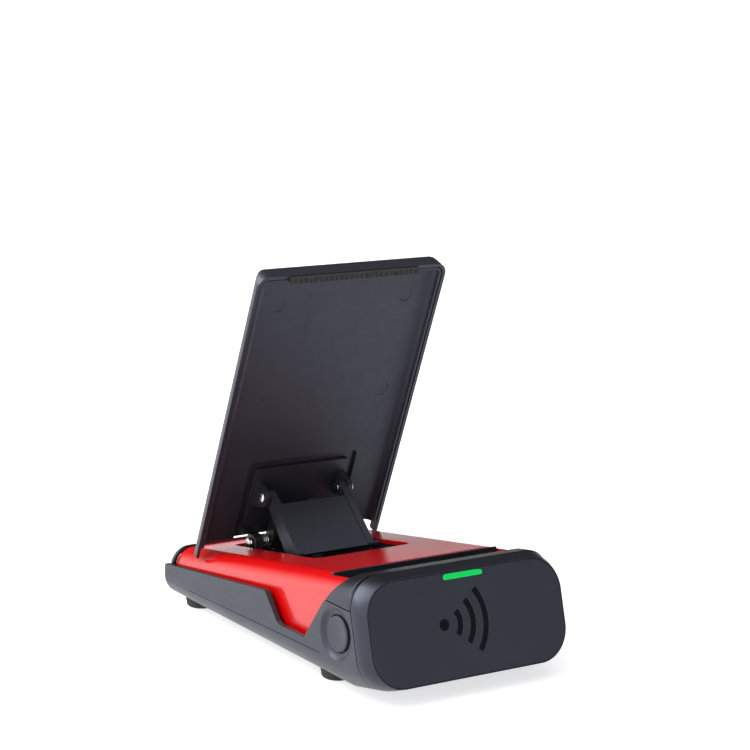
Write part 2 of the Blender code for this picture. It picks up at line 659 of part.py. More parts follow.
def power_button():
    """Cap with an inner flange, so that it can't fall out of its bore."""
    face = -BODY_HALF_WIDTH + 0.0004
    inner = -BODY_HALF_WIDTH + WALL + GAP
    frame = basis((0, 1, 0), (0, 0, 1), (inner, BUTTON_Y, BUTTON_Z))
    reach = inner - face
    flange = BUTTON_RADIUS + 0.0008
    profile = [(0, BUTTON_FLANGE), (flange, BUTTON_FLANGE), (flange, 0.0), (BUTTON_RADIUS, 0.0),
               (BUTTON_RADIUS, -reach + 0.0004), (BUTTON_RADIUS - 0.0004, -reach), (0, -reach)]
    return turned("power_button", profile, frame, "black_plastic", 32)


def feet_and_screws():
    foot_profile = [(0, FOOT_HEIGHT), (0.0056, FOOT_HEIGHT), (0.0050, 0.0010), (0.0040, 0.0), (0, 0.0)]
    tip, seat, under = 0.0110, BELLY_Z + 0.0010 - GAP, BELLY_Z - 0.0001
    screw_profile = [(0, tip), (SCREW_RADIUS, tip - 0.0006), (SCREW_RADIUS, seat), (0.0025, seat),
                     (0.0025, under), (0, under)]
    for side, hand in ((-1, "left"), (1, "right")):
        for y, row in zip(FOOT_Y, ("front", "rear")):
            turned(f"foot_{row}_{hand}", foot_profile, Matrix.Translation((side * FOOT_X, y, 0)),
                   "rubber", 20)
        for y, row in zip(SCREW_Y, ("front", "rear")):
            turned(f"screw_{row}_{hand}", screw_profile, Matrix.Translation((side * SCREW_X, y, 0.0)),
                   "steel", 12)


# ---------------------------------------------------------------- stand


def arch(inset):
    """Closed section (x, w) of the stand: flat back, rounded shoulders, open towards the front."""
    half, back = STAND_HALF_WIDTH - inset, STAND_DEPTH - inset
    radius = STAND_ROUND - inset
    low = 0.0 if inset == 0 else -0.02
    return fillet([(half, low, 0), (half, back, radius), (-half, back, radius), (-half, low, 0)])


def stand_outline(inset=0.0, foot=STAND_FOOT, tip=0.0010):
    """Front view (x, v) of the stand: rounded head, and small round tips below."""
    half, head, shoulder = STAND_HALF_WIDTH - inset, STAND_HEAD - inset, STAND_SHOULDER - inset
    return fillet([(half, foot, tip), (half, head, shoulder), (-half, head, shoulder),
                   (-half, foot, tip)], 5)


def stand_room(name, inset):
    """Cutter for the space inside the stand, that far in from its outer surface."""
    room = plate(name, arch(inset), -0.03, STAND_HEAD, STAND)
    outline = plate(name + "_outline", stand_outline(inset, -0.04, 0), -0.03, 0.03, STAND_FRONT)
    return boolean(room, outline, "INTERSECT")


def foot_notch(name):
    """Cutter that lifts the stand's lower edge between its two tips."""
    half = STAND_HALF_WIDTH - STAND_SKIN + 0.0001
    notch = fillet([(half, -0.03, 0), (half, 0.0015, 0.0010), (-half, 0.0015, 0.0010),
                    (-half, -0.03, 0)], 4)
    return plate(name, notch, -0.03, 0.03, STAND_FRONT)


def stand_side_outline():
    """Side view (w, v) of the stand, with its lower back corner rounded off."""
    front, head = -0.01, STAND_HEAD + 0.01
    return fillet([(front, STAND_FOOT, 0), (STAND_DEPTH, STAND_FOOT, 0.0030),
                   (STAND_DEPTH + 0.001, 0.030, 0), (STAND_DEPTH + 0.001, head, 0), (front, head, 0)])


def stand_panel():
    panel = plate("stand_panel", arch(0), STAND_FOOT, STAND_HEAD, STAND, "black_plastic")
    boolean(panel, plate("panel_outline", stand_outline(), -0.03, 0.03, STAND_FRONT), "INTERSECT")
    boolean(panel, stand_room("panel_room", STAND_SKIN))
    boolean(panel, foot_notch("panel_notch"))
    boolean(panel, plate("panel_side", stand_side_outline(), -0.05, 0.05, STAND_SIDE), "INTERSECT")
    return soften(panel)


def stand_liner():
    """Thin inner shell of the stand, with a pocket for the hinge bracket."""
    outer, foot, rim = STAND_SKIN + GAP, 0.0004, 0.0002
    half, back, radius = STAND_HALF_WIDTH - outer, STAND_DEPTH - outer, STAND_ROUND - outer
    section = fillet([(half, rim, 0), (half, back, radius), (-half, back, radius), (-half, rim, 0)])
    liner = plate("stand_liner", section, foot, STAND_HEAD, STAND, "face_plastic")
    outline = plate("liner_outline", stand_outline(outer, foot - 0.01, 0), -0.03, 0.03, STAND_FRONT)
    boolean(liner, outline, "INTERSECT")
    boolean(liner, stand_room("liner_room", outer + LINER_SKIN))
    boolean(liner, foot_notch("liner_notch"))
    pocket = fillet([(POCKET_HALF_WIDTH, -0.02, 0), (POCKET_HALF_WIDTH, POCKET_HEAD, 0.0020),
                     (-POCKET_HALF_WIDTH, POCKET_HEAD, 0.0020), (-POCKET_HALF_WIDTH, -0.02, 0)], 3)
    boolean(liner, plate("liner_pocket", pocket, -0.03, 0.0, STAND_FRONT))
    return soften(liner)


def stand_bracket():
    """Steel bracket in the pocket: knuckles on the hinge pins, lugs for the strut pins."""
    back = STAND_DEPTH - STAND_SKIN - GAP
    hinge_w = -STAND_RIM
    strut_w = hinge_w + STRUT_PIN_W
    sheet = 0.0012
    root = back - 0.0003
    body = plate("stand_bracket", [(-0.0192, 0.0062), (0.0192, 0.0062), (0.0192, 0.0300),
                                   (-0.0192, 0.0300)], -back, -back + sheet, STAND_FRONT,
                 "black_plastic")
    for hand in (-1, 1):
        tag = "left" if hand < 0 else "right"
        low, high = sorted((hand * 0.0052, hand * 0.0084))
        eye = 0.0026
        knuckle = fillet([(hinge_w - eye, -eye, 0.0025), (root, -eye, 0.0022), (root, 0.0150, 0),
                          (root - sheet, 0.0150, 0), (hinge_w - eye, 0.0030, 0.0024)], 4)
        boolean(body, plate("knuckle_" + tag, knuckle, low, high, STAND_SIDE), "UNION")
        low, high = sorted((hand * 0.0160, hand * 0.0178))
        lug = fillet([(strut_w - 0.0026, STRUT_PIN_V - 0.0026, 0.0025),
                      (back - sheet / 2, STRUT_PIN_V - 0.0070, 0),
                      (back - sheet / 2, STRUT_PIN_V + 0.0038, 0),
                      (strut_w - 0.0026, STRUT_PIN_V + 0.0026, 0.0025)], 4)
        boolean(body, plate("strut_lug_" + tag, lug, low, high, STAND_SIDE), "UNION")
    boolean(body, rod("knuckle_bore", HINGE - ACROSS * 0.03, HINGE + ACROSS * 0.03, PIN_BORE))
    boolean(body, rod("lug_bore", STRUT_PIN - ACROSS * 0.03, STRUT_PIN + ACROSS * 0.03, PIN_BORE))
    return soften(body)


def pins_and_springs():
    """Headed steel pins; each hinge pin carries a torsion spring."""
    for hand, tag in ((-1, "left"), (1, "right")):
        headed_pin("hinge_pin_" + tag, HINGE, hand, 0.0048, 0.0160)
        headed_pin("strut_pin_" + tag, STRUT_PIN, hand, 0.0125, 0.0181)
        hinge_spring("hinge_spring_" + tag, hand)


def headed_pin(name, centre, hand, tip, head):
    """Pin along X on one side of the centre, from its tip outwards to its domed head."""
    shank, head_radius, head_depth = head - tip, 0.0020, 0.0008
    profile = [(0, 0.0), (PIN_RADIUS, 0.0), (PIN_RADIUS, -shank), (head_radius, -shank),
               (head_radius, -shank - head_depth), (0.7 * head_radius, -shank - 1.4 * head_depth),
               (0, -shank - 1.4 * head_depth)]
    across, up = ((0, 1, 0), (0, 0, 1)) if hand < 0 else ((0, 0, 1), (0, 1, 0))
    turned(name, profile, basis(across, up, centre + ACROSS * hand * tip), "steel")


def hinge_spring(name, hand):
    turns, per_turn, coil, wire = 3.0, 12, 0.0022, 0.00032
    start, end = 0.0090, 0.0117
    curve = bpy.data.curves.new(name, "CURVE")
    curve.dimensions = "3D"
    curve.bevel_depth = wire
    curve.bevel_resolution = 1
    curve.use_fill_caps = True
    count = int(turns * per_turn) + 1
    spline = curve.splines.new("POLY")
    spline.points.add(count - 1)
    for index, point in enumerate(spline.points):
        angle = 2 * math.pi * index / per_turn
        x = start + (end - start) * index / (count - 1)
        point.co = (hand * x, HINGE_Y + coil * math.cos(angle), HINGE_Z + coil * math.sin(angle), 1)
    obj = bpy.data.objects.new(name, curve)
    PARTS.objects.link(obj)
    curve.materials.append(finish("steel"))
    weld = obj.modifiers.new("weld", "WELD")
    weld.merge_threshold = 0.00001
    return obj


def stand_trim():
    """Rubber strip along the head of the stand, where the phone leans."""
    strip = rounded_rectangle(0.0260, STAND_HEAD - 0.0026, STAND_HEAD - 0.0004, 0.0010, 0.0010, 2)
    plate("phone_rest_strip", strip, GAP, GAP + 0.0009, STAND_FRONT, "rubber")


# ---------------------------------------------------------------- strut


def strut():
    """Channel-section prop: plate and two side flanges, hung on the strut pins."""
    up_side = basis(ACROSS, STRUT_UP, STRUT_PIN)
    foot = -STRUT_LENGTH
    front, sheet, step, head = 0.0022, 0.0014, 0.0003, -0.0048
    half = STRUT_HALF_WIDTH - step
    body = plate("strut", [(-half, foot + step), (half, foot + step), (half, head), (-half, head)],
                 front - sheet, front - step, up_side, "black_plastic")
    flange = fillet([(-front, foot, 0.0004), (0.0046, foot + 0.0050, 0.0012), (front, -0.0012, 0),
                     (front, front, 0.0019), (-front, front, 0.0019)], 4)
    for hand, tag in ((-1, "left"), (1, "right")):
        low, high = sorted((hand * 0.0132, hand * STRUT_HALF_WIDTH))
        boolean(body, plate("flange_" + tag, flange, low, high, STRUT_SIDE), "UNION")
        peg = STRUT_SIDE @ Vector((*PEG_PLACE, 0))
        boolean(body, rod("peg_" + tag, peg + ACROSS * hand * (STRUT_HALF_WIDTH - 0.0010),
                          peg + ACROSS * hand * PEG_END_X, PEG_RADIUS), "UNION")
    boolean(body, rod("strut_bore", STRUT_PIN - ACROSS * 0.03, STRUT_PIN + ACROSS * 0.03, PIN_BORE))
    return soften(body)


# ---------------------------------------------------------------- assembly

clear_scene()
PARTS = new_collection("launch_monitor")
CUTTERS = new_collection("cutters")

base_tub()
front_bridge()
front_bezel()
face_plate()
light_parts()
top_shell()
phone_ledge()
rear_end()
hinge_tray()
electronics()
power_button()
feet_and_screws()
stand_panel()
stand_liner()
stand_bracket()
pins_and_springs()
stand_trim()
strut()
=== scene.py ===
"""Looks of the golf launch monitor: fine shells, hardware, materials, camera and studio.

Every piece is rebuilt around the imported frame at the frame's own sizes, with close round steps and
rounded edges, and rides on the CAD body it belongs to.  Metres, +Z up, +Y from the face to the rear.
"""
import json
from math import cos, degrees, hypot, pi, radians, sin, tan

import bmesh
import bpy
from mathutils import Matrix, Vector
from mathutils.geometry import area_tri


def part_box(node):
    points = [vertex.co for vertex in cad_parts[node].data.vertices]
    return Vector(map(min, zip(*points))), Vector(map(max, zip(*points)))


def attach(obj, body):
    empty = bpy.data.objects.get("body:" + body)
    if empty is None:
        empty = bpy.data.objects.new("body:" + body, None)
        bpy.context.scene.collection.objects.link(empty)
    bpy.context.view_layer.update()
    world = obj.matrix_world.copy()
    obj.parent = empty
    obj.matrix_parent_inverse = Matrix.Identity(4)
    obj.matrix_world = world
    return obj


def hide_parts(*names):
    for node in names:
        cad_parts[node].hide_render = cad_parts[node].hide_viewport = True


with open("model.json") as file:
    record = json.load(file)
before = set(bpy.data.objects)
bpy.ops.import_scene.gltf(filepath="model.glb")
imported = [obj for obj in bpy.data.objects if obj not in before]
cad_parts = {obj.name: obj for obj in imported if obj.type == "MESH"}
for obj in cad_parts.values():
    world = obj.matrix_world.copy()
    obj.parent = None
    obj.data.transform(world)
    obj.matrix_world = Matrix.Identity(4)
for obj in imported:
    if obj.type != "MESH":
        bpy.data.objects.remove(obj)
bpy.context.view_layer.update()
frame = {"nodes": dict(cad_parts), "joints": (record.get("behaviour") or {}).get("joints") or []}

# ---- sizes taken from the frame

TUB_LOW, TUB_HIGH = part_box("base_tub")
REAR_LOW, REAR_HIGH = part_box("rear_bezel")
TRAY_LOW, TRAY_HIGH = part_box("hinge_tray")
SHELL_HIGH, LEDGE_HIGH, STRUT_HIGH = (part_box(name)[1] for name in ("top_shell", "phone_ledge", "strut"))
JOINTS = {joint["name"]: joint for joint in frame["joints"]}

BODY_HALF_WIDTH = TUB_HIGH.x
BODY_REAR_Y = TUB_HIGH.y
BELLY_Z = TUB_LOW.z
SHELL_HALF_WIDTH = SHELL_HIGH.x
SHELL_REAR_Y = SHELL_HIGH.y
HINGE = Vector(JOINTS["stand_fold"]["pos_m"])
STRUT_PIN = Vector(JOINTS["strut_fold"]["pos_m"])

# ---- sizes the boxes do not show

GAP = 0.0003
ROUND_STEPS = 14                 # facets in a quarter round
EDGE = 0.00022                   # radius of a moulded edge
SHARP = radians(32)              # edges that turn by more than this are rounded
SHORT_EDGE = 0.00006             # shorter edges are merged before an edge is rounded
FOLD_AREA = 3e-7                 # a face may overlap itself by this area, in square metres

TOP_SLOPE = 0.1647               # rise of the body's top per metre towards the face
REAR_TOP_Z = REAR_HIGH.z - (BODY_REAR_Y - REAR_LOW.y) * TOP_SLOPE
CORNER_TOP = 0.010
CORNER_BELLY = 0.008
CORNER_REAR = 0.0068
BELLY_RISE = 0.0010              # the underside lifts by this much at its front end
BELLY_RISE_Y = -0.050
WALL = 0.0018
CUT_Y = 0.100                    # cutters end here, in front of and behind the body

FACE_FOOT_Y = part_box("front_bezel")[0].y
FACE_FOOT_Z = 0.0065
FACE_LEAN = radians(16.1)
FACE_HALF_WIDTH = 0.0381
FACE_HEIGHT = 0.0345
FACE_CORNER = 0.0115
BEZEL_DEPTH = 0.0061
FACE_PLATE_THICKNESS = 0.0020
LIGHT_HALF_WIDTH = 0.0077
LIGHT_HALF_HEIGHT = 0.0009
LIGHT_CENTRE = 0.0326

RAIL_REAR = (0.0616, 0.0158)
RAIL_FRONT = (-0.0014, 0.0235)
WINDOW_SILL_Z = 0.0143
WINDOW_SILL_REAR_Y = -0.0100
WINDOW_SILL_FRONT_Y = -0.0260
WINDOW_LEAN = 0.735
FRONT_SEAM_Z = 0.0299

SHELL_CORNER = 0.0070
SHELL_DROP = 0.0006
SHELL_THICKNESS = 0.0015
SHELL_RIM_Z = 0.0115
WELL_HALF_WIDTH = 0.0195
WELL_FRONT_Y = -0.0005
WELL_REAR_Y = 0.0540
WELL_DEPTH = 0.0104

PHONE_LEAN = radians(26.6)
SLOT_HALF_WIDTH = LEDGE_HIGH.x
SLOT_REST_Y = -0.0417
SLOT_REST_Z = 0.0374
SLOT_REAR_Y = LEDGE_HIGH.y

STAND_LEAN = radians(20.2)
STAND_HALF_WIDTH = 0.0378
STAND_FOOT = -0.0026
STAND_HEAD = 0.1090
STAND_RIM = -0.0012
STAND_DEPTH = 0.0055
STAND_ROUND = 0.0053
STAND_SHOULDER = 0.0045
STAND_SKIN = 0.0013
LINER_SKIN = 0.0009
POCKET_HALF_WIDTH = 0.0220
POCKET_HEAD = 0.0330

STRUT_PIN_V = 0.02179
STRUT_PIN_W = -0.00351
STRUT_LEAN = radians(48.1)
STRUT_HALF_WIDTH = 0.0157
STRUT_LENGTH = 0.0262
PEG_PLACE = (0.0002, -0.0246)
PEG_RADIUS = 0.0011
PEG_END_X = STRUT_HIGH.x
GUIDE_X = 0.0165
GUIDE_OPEN = (0.0191, -0.0014)
GUIDE_FOLDED = (0.0016, -0.0028)
PIN_RADIUS = 0.0012
PIN_BORE = 0.0015
SIDES = ((-1, "left"), (1, "right"))

BUTTON_Y = -0.0447
BUTTON_Z = 0.0206
BUTTON_RADIUS = 0.00605
BUTTON_FLANGE = 0.0010
DISH_RADIUS = 0.0086
DISH_DEPTH = 0.0013
USB_Y = -0.0420
USB_Z = 0.0160

FOOT_X = 0.0285
FOOT_Y = (-0.0290, 0.0595)
FOOT_HEIGHT = 0.0033
SCREW_X = 0.0280
SCREW_Y = (-0.0120, 0.0450)
SCREW_RADIUS = 0.0011

# ---- studio settings

CAMERA_PLACE = (-0.4447, -0.6590, 0.2588)
CAMERA_TURN = radians(34.16)
CAMERA_PITCH = radians(11.84)
CAMERA_ROLL = radians(1.66)
CAMERA_LENS = 116.9              # focal length in mm, on a 36 mm wide sensor
KEY_PLACE = (-0.7, 0.6, 0.9)
KEY_TARGET = (0, 0, 0.04)
KEY_SIZE = 0.9
KEY_POWER = 14
DIM_SIDES = ((0.55, -0.80, 0.25), (0.50, 0.75, 0.42))   # where the surroundings are darker
DIM_COLOUR = (0.035, 0.036, 0.042)
WORLD_STRENGTH = 2.0
FLOOR_GLOW = 1.15                # keeps the shadows on the floor faint

# ---- mesh helpers

PIECES = bpy.data.collections.new("launch_monitor_looks")
bpy.context.scene.collection.children.link(PIECES)


def link(name, mesh):
    obj = bpy.data.objects.new(name, mesh)
    PIECES.objects.link(obj)
    return obj


def evaluated_mesh(obj):
    return bpy.data.meshes.new_from_object(obj.evaluated_get(bpy.context.evaluated_depsgraph_get()))


def boolean(obj, tool, operation="DIFFERENCE"):
    """Cut, join or intersect a mesh for good, and drop the tool."""
    modifier = obj.modifiers.new("cut", "BOOLEAN")
    modifier.operation = operation
    modifier.object = tool
    mesh = evaluated_mesh(obj)
    obj.modifiers.remove(modifier)
    used = (obj.data, tool.data)
    obj.data = mesh
    bpy.data.objects.remove(tool, do_unlink=True)
    for old in used:
        bpy.data.meshes.remove(old)
    return obj


def folded(shape):
    """Whether a face overlaps itself, as it does where a rounding is wider than its surroundings."""
    spread = {}
    for corners in shape.calc_loop_triangles():
        face = corners[0].face
        spread[face] = spread.get(face, 0.0) + area_tri(*(corner.vert.co for corner in corners))
    return any(total > 1.02 * face.calc_area() + FOLD_AREA for face, total in spread.items())


def bevelled(mesh, radius, segments):
    """A cleaned copy of the mesh with its sharp edges rounded."""
    shape = bmesh.new()
    shape.from_mesh(mesh)
    bmesh.ops.remove_doubles(shape, verts=shape.verts, dist=2e-6)
    bmesh.ops.dissolve_limit(shape, angle_limit=radians(0.3), verts=shape.verts,
                             edges=shape.edges)
    bmesh.ops.dissolve_degenerate(shape, dist=SHORT_EDGE, edges=shape.edges)
    sharp = [edge for edge in shape.edges
             if len(edge.link_faces) == 2 and edge.calc_face_angle(0.0) > SHARP]
    if radius and sharp:
        bmesh.ops.bevel(shape, geom=sharp, offset=radius, segments=segments, profile=0.5,
                        affect="EDGES", clamp_overlap=False)
    return shape


def rounded(obj, radius=EDGE, segments=3):
    """Round the piece's edges, by less where the full radius would fold a face, and shade it smoothly."""
    for share in (1, 0.6, 0.35, 0.2, 0.1, 0):
        shape = bevelled(obj.data, radius * share, segments)
        if share == 0 or not folded(shape):
            break
        shape.free()
    bmesh.ops.recalc_face_normals(shape, faces=shape.faces)
    shape.to_mesh(obj.data)
    shape.free()
    obj.data.shade_smooth()
    obj.data.set_sharp_from_angle(angle=radians(50))
    normals = obj.modifiers.new("normals", "WEIGHTED_NORMAL")
    normals.keep_sharp = True
    return obj


def fillet(corners, steps):
    """Round a polygon given as (a, b, radius) corners; a radius of 0 stays sharp."""
    outline = []
    for index, (a, b, radius) in enumerate(corners):
        here = Vector((a, b))
        if radius == 0:
            outline.append((a, b))
            continue
        before = Vector(corners[index - 1][:2]) - here
        after = Vector(corners[(index + 1) % len(corners)][:2]) - here
        half = before.angle(after) / 2
        reach = radius / tan(half)
        centre = here + (before.normalized() + after.normalized()).normalized() * radius / sin(half)
        first = here + before.normalized() * reach - centre
        last = here + after.normalized() * reach - centre
        sweep = first.angle_signed(last)
        for step in range(steps + 1):
            spoke = first.copy()
            spoke.rotate(Matrix.Rotation(-sweep * step / steps, 2))
            outline.append(tuple(centre + spoke))
    return outline


def rounded_rectangle(half_width, low, high, low_radius, high_radius, steps=ROUND_STEPS):
    return fillet([(half_width, low, low_radius), (half_width, high, high_radius),
                   (-half_width, high, high_radius), (-half_width, low, low_radius)], steps)


def loft(name, rings):
    """A solid through matching rings of points, closed at both ends."""
    shape = bmesh.new()
    loops = [[shape.verts.new(point) for point in ring] for ring in rings]
    for lower, upper in zip(loops, loops[1:]):
        for index in range(len(lower)):
            after = (index + 1) % len(lower)
            shape.faces.new((lower[index], lower[after], upper[after], upper[index]))
    shape.faces.new(loops[0])
    shape.faces.new(loops[-1])
    bmesh.ops.recalc_face_normals(shape, faces=shape.faces)
    mesh = bpy.data.meshes.new(name)
    shape.to_mesh(mesh)
    shape.free()
    return link(name, mesh)


def plate(name, outline, low, high, place):
    """A flat outline in a frame's XY plane, thick from low to high along its Z."""
    rings = [[place @ Vector((a, b, level)) for a, b in outline] for level in (low, high)]
    return loft(name, rings)


def side_plate(name, outline, hand, near, far, place):
    """A plate on one side of the middle, hand -1 or 1, between two distances from it."""
    low, high = sorted((hand * near, hand * far))
    return plate(name, outline, low, high, place)


def box(name, low, high):
    low, high = Vector(low), Vector(high)
    outline = [(low.x, low.y), (high.x, low.y), (high.x, high.y), (low.x, high.y)]
    return plate(name, outline, low.z, high.z, PLAN)


def turned(name, profile, place, steps=48):
    """A solid turned about a frame's Z; the profile runs (radius, height) from one end to the other."""
    rings = [[place @ Vector((radius * cos(2 * pi * i / steps),
                              radius * sin(2 * pi * i / steps), height))
              for i in range(steps)] for radius, height in profile]
    return loft(name, rings)


def rod(name, start, end, radius, steps):
    """A round bar from start to end."""
    start, end = Vector(start), Vector(end)
    turn = Vector((0, 0, 1)).rotation_difference(end - start)
    place = Matrix.Translation(start) @ turn.to_matrix().to_4x4()
    return turned(name, [(radius, 0), (radius, (end - start).length)], place, steps)


def arc(centre_a, centre_b, radius, start, end, steps):
    """Points of an arc, in degrees, for profiles and outlines."""
    turn = [radians(start + (end - start) * i / steps) for i in range(steps + 1)]
    return [(centre_a + radius * cos(t), centre_b + radius * sin(t)) for t in turn]


def wire(name, path, radius):
    """A round wire along a path of points, with closed ends."""
    curve = bpy.data.curves.new(name, "CURVE")
    curve.dimensions = "3D"
    curve.bevel_depth = radius
    curve.bevel_resolution = 2
    curve.use_fill_caps = True
    spline = curve.splines.new("POLY")
    spline.points.add(len(path) - 1)
    for point, place in zip(spline.points, path):
        point.co = (*place, 1)
    guide = bpy.data.objects.new(name, curve)
    PIECES.objects.link(guide)
    mesh = evaluated_mesh(guide)
    bpy.data.objects.remove(guide, do_unlink=True)
    mesh.shade_smooth()
    return link(name, mesh)


def basis(x_axis, y_axis, origin):
    x_axis, y_axis = Vector(x_axis).normalized(), Vector(y_axis).normalized()
    place = Matrix((x_axis, y_axis, x_axis.cross(y_axis))).transposed().to_4x4()
    place.translation = origin
    return place


ACROSS = Vector((1, 0, 0))
FACE_UP = Vector((0, sin(FACE_LEAN), cos(FACE_LEAN)))
FACE = basis(ACROSS, FACE_UP, (0, FACE_FOOT_Y, FACE_FOOT_Z))           # Z points out of the face
FACE_OUT = Vector((0, -cos(FACE_LEAN), sin(FACE_LEAN)))
SIDE = basis((0, 1, 0), (0, 0, 1), (0, 0, 0))                          # outline in (y, z), thick in X
PLAN = Matrix.Identity(4)

STAND_UP = Vector((0, -sin(STAND_LEAN), cos(STAND_LEAN)))
STAND_BACK = Vector((0, cos(STAND_LEAN), sin(STAND_LEAN)))
STAND_ORIGIN = HINGE + STAND_BACK * STAND_RIM
STAND = basis(ACROSS, STAND_BACK, STAND_ORIGIN)                        # coordinates (x, w, v)
STAND_FRONT = basis(ACROSS, STAND_UP, STAND_ORIGIN)                    # coordinates (x, v, -w)
STAND_SIDE = basis(STAND_BACK, STAND_UP, STAND_ORIGIN)                 # coordinates (w, v), thick in -X

STRUT_UP = Vector((0, sin(STRUT_LEAN), cos(STRUT_LEAN)))
STRUT_SIDE = basis((0, cos(STRUT_LEAN), -sin(STRUT_LEAN)), STRUT_UP, STRUT_PIN)
STRUT_FRONT = basis(ACROSS, STRUT_UP, STRUT_PIN)


def envelope_z(y):
    return REAR_TOP_Z + (BODY_REAR_Y - y) * TOP_SLOPE


def shell_z(y):
    return envelope_z(y) - SHELL_DROP


def window_edge_y(z):
    """The leaning line between the red shell and the black front."""
    return WINDOW_SILL_FRONT_Y - (z - WINDOW_SILL_Z) * WINDOW_LEAN


def ahead_of_window(low, high, shift):
    """Side view of all that is ahead of the leaning line, moved back by shift, between two heights."""
    return [(-CUT_Y, low), (window_edge_y(low) + shift, low),
            (window_edge_y(high) + shift, high), (-CUT_Y, high)]


def face_ring(half_width, low_z, drop, low_radius, high_radius, offset):
    """Body section on a plane parallel to the face, `offset` in front of it."""
    low = (low_z - FACE_FOOT_Z - FACE_OUT.z * offset) / FACE_UP.z
    reach = envelope_z(FACE_FOOT_Y + FACE_OUT.y * offset) - drop - FACE_FOOT_Z - FACE_OUT.z * offset
    high = reach / (FACE_UP.z + TOP_SLOPE * FACE_UP.y)
    outline = rounded_rectangle(half_width, low, high, low_radius, high_radius)
    return [FACE @ Vector((x, rise, offset)) for x, rise in outline]


def cross_ring(half_width, low_z, drop, low_radius, high_radius, y):
    """Body section on the upright plane at y."""
    outline = rounded_rectangle(half_width, low_z, envelope_z(y) - drop, low_radius, high_radius)
    return [Vector((x, y, z)) for x, z in outline]


def wedge(name, half_width, low_z, drop, low_radius, high_radius, offset, rear_y):
    """Body-shaped wedge from a face-parallel plane to an upright rear plane."""
    return loft(name, [
        face_ring(half_width, low_z, drop, low_radius, high_radius, offset),
        cross_ring(half_width, low_z, drop, low_radius, min(high_radius, CORNER_REAR), rear_y)])


def body_skin(name):
    """Outer shape of the body behind the bezel, with its underside lifting towards the face."""
    return loft(name, [
        face_ring(BODY_HALF_WIDTH, BELLY_Z + BELLY_RISE, 0, FACE_CORNER, FACE_CORNER, -BEZEL_DEPTH - GAP),
        cross_ring(BODY_HALF_WIDTH, BELLY_Z, 0, CORNER_BELLY, CORNER_TOP, BELLY_RISE_Y),
        cross_ring(BODY_HALF_WIDTH, BELLY_Z, 0, CORNER_BELLY, CORNER_REAR, BODY_REAR_Y)])


def paint(obj, slot):
    obj.data.materials.clear()
    obj.data.materials.append(MATERIALS[slot])


def dress(obj, body, slot, *nodes):
    """Put a finished piece on its body, with its material, in place of the CAD nodes."""
    paint(obj, slot)
    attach(obj, body)
    if nodes:
        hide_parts(*nodes)


# ---- materials


def feed(tree, target, value):
    """Give a node's input a value, or link another node's output to it."""
    if isinstance(value, bpy.types.NodeSocket):
        tree.links.new(value, target)
    else:
        target.default_value = value


def add_node(tree, kind, inputs, **settings):
    node = tree.nodes.new(kind)
    for key, value in settings.items():
        setattr(node, key, value)
    for key, value in inputs.items():
        feed(tree, node.inputs[key], value)
    return node


class Nodes:
    """A material's node tree, with short calls for the nodes used here."""

    def __init__(self, name):
        self.material = bpy.data.materials.new(name)
        self.material.use_nodes = True
        self.tree = self.material.node_tree
        self.shader = self.tree.nodes["Principled BSDF"]
        self.place = self.add("ShaderNodeTexCoord", {}).outputs["Object"]

    def add(self, kind, inputs, **settings):
        return add_node(self.tree, kind, inputs, **settings)

    def noise(self, scale, detail, roughness=0.5, stretch=(1, 1, 1)):
        mapping = self.add("ShaderNodeMapping", {"Scale": stretch, "Vector": self.place})
        node = self.add("ShaderNodeTexNoise", {"Scale": scale, "Detail": detail, "Roughness": roughness,
                                               "Vector": mapping.outputs["Vector"]})
        return node.outputs["Fac"]

    def span(self, value, low, high):
        """Map a 0.3 to 0.7 noise value to the range low to high."""
        node = self.add("ShaderNodeMapRange", {"From Min": 0.3, "From Max": 0.7, "To Min": low,
                                               "To Max": high, "Value": value})
        return node.outputs["Result"]

    def mix(self, value, first, second):
        """Colour between two colours by a value."""
        node = self.add("ShaderNodeMix", {"A": (*first, 1), "B": (*second, 1), "Factor": value},
                        data_type="RGBA")
        return node.outputs["Result"]

    def bump(self, height, strength, distance, normal=None):
        inputs = {"Strength": strength, "Distance": distance, "Height": height}
        if normal:
            inputs["Normal"] = normal
        return self.add("ShaderNodeBump", inputs).outputs["Normal"]

    def set(self, **values):
        for key, value in values.items():
            feed(self.tree, self.shader.inputs[key.replace("_", " ")], value)


def moulded_plastic(name, colour, tint, roughness, grain):
    """Moulded plastic: eroded fine grain, faint colour drift, uneven sheen and handling marks."""
    nodes = Nodes(name)
    drift = nodes.span(nodes.noise(55, 2), 0.0, 1.0)
    marks = nodes.noise(240, 4, 0.7, (1, 0.35, 1))
    fine = nodes.bump(nodes.noise(5200, 2), grain, 0.00004)
    nodes.set(Base_Color=nodes.mix(drift, colour, tint), Roughness=nodes.span(marks, *roughness), IOR=1.55,
              Specular_Tint=(0.70, 0.77, 1.0, 1.0),
              Normal=nodes.bump(nodes.noise(900, 2), grain * 0.6, 0.00005, fine))
    return nodes.material


def polished_red():
    """Glossy moulded red: faint flow waves under a clear, slightly uneven surface."""
    nodes = Nodes("red_plastic")
    drift = nodes.span(nodes.noise(38, 2), 0.0, 1.0)
    nodes.set(Base_Color=nodes.mix(drift, (0.47, 0.0020, 0.0018), (0.43, 0.0015, 0.0016)),
              Roughness=nodes.span(nodes.noise(300, 4, 0.7), 0.18, 0.23), Coat_Weight=0.3,
              Coat_Roughness=0.05,
              Normal=nodes.bump(nodes.noise(160, 1), 0.015, 0.0001))
    return nodes.material


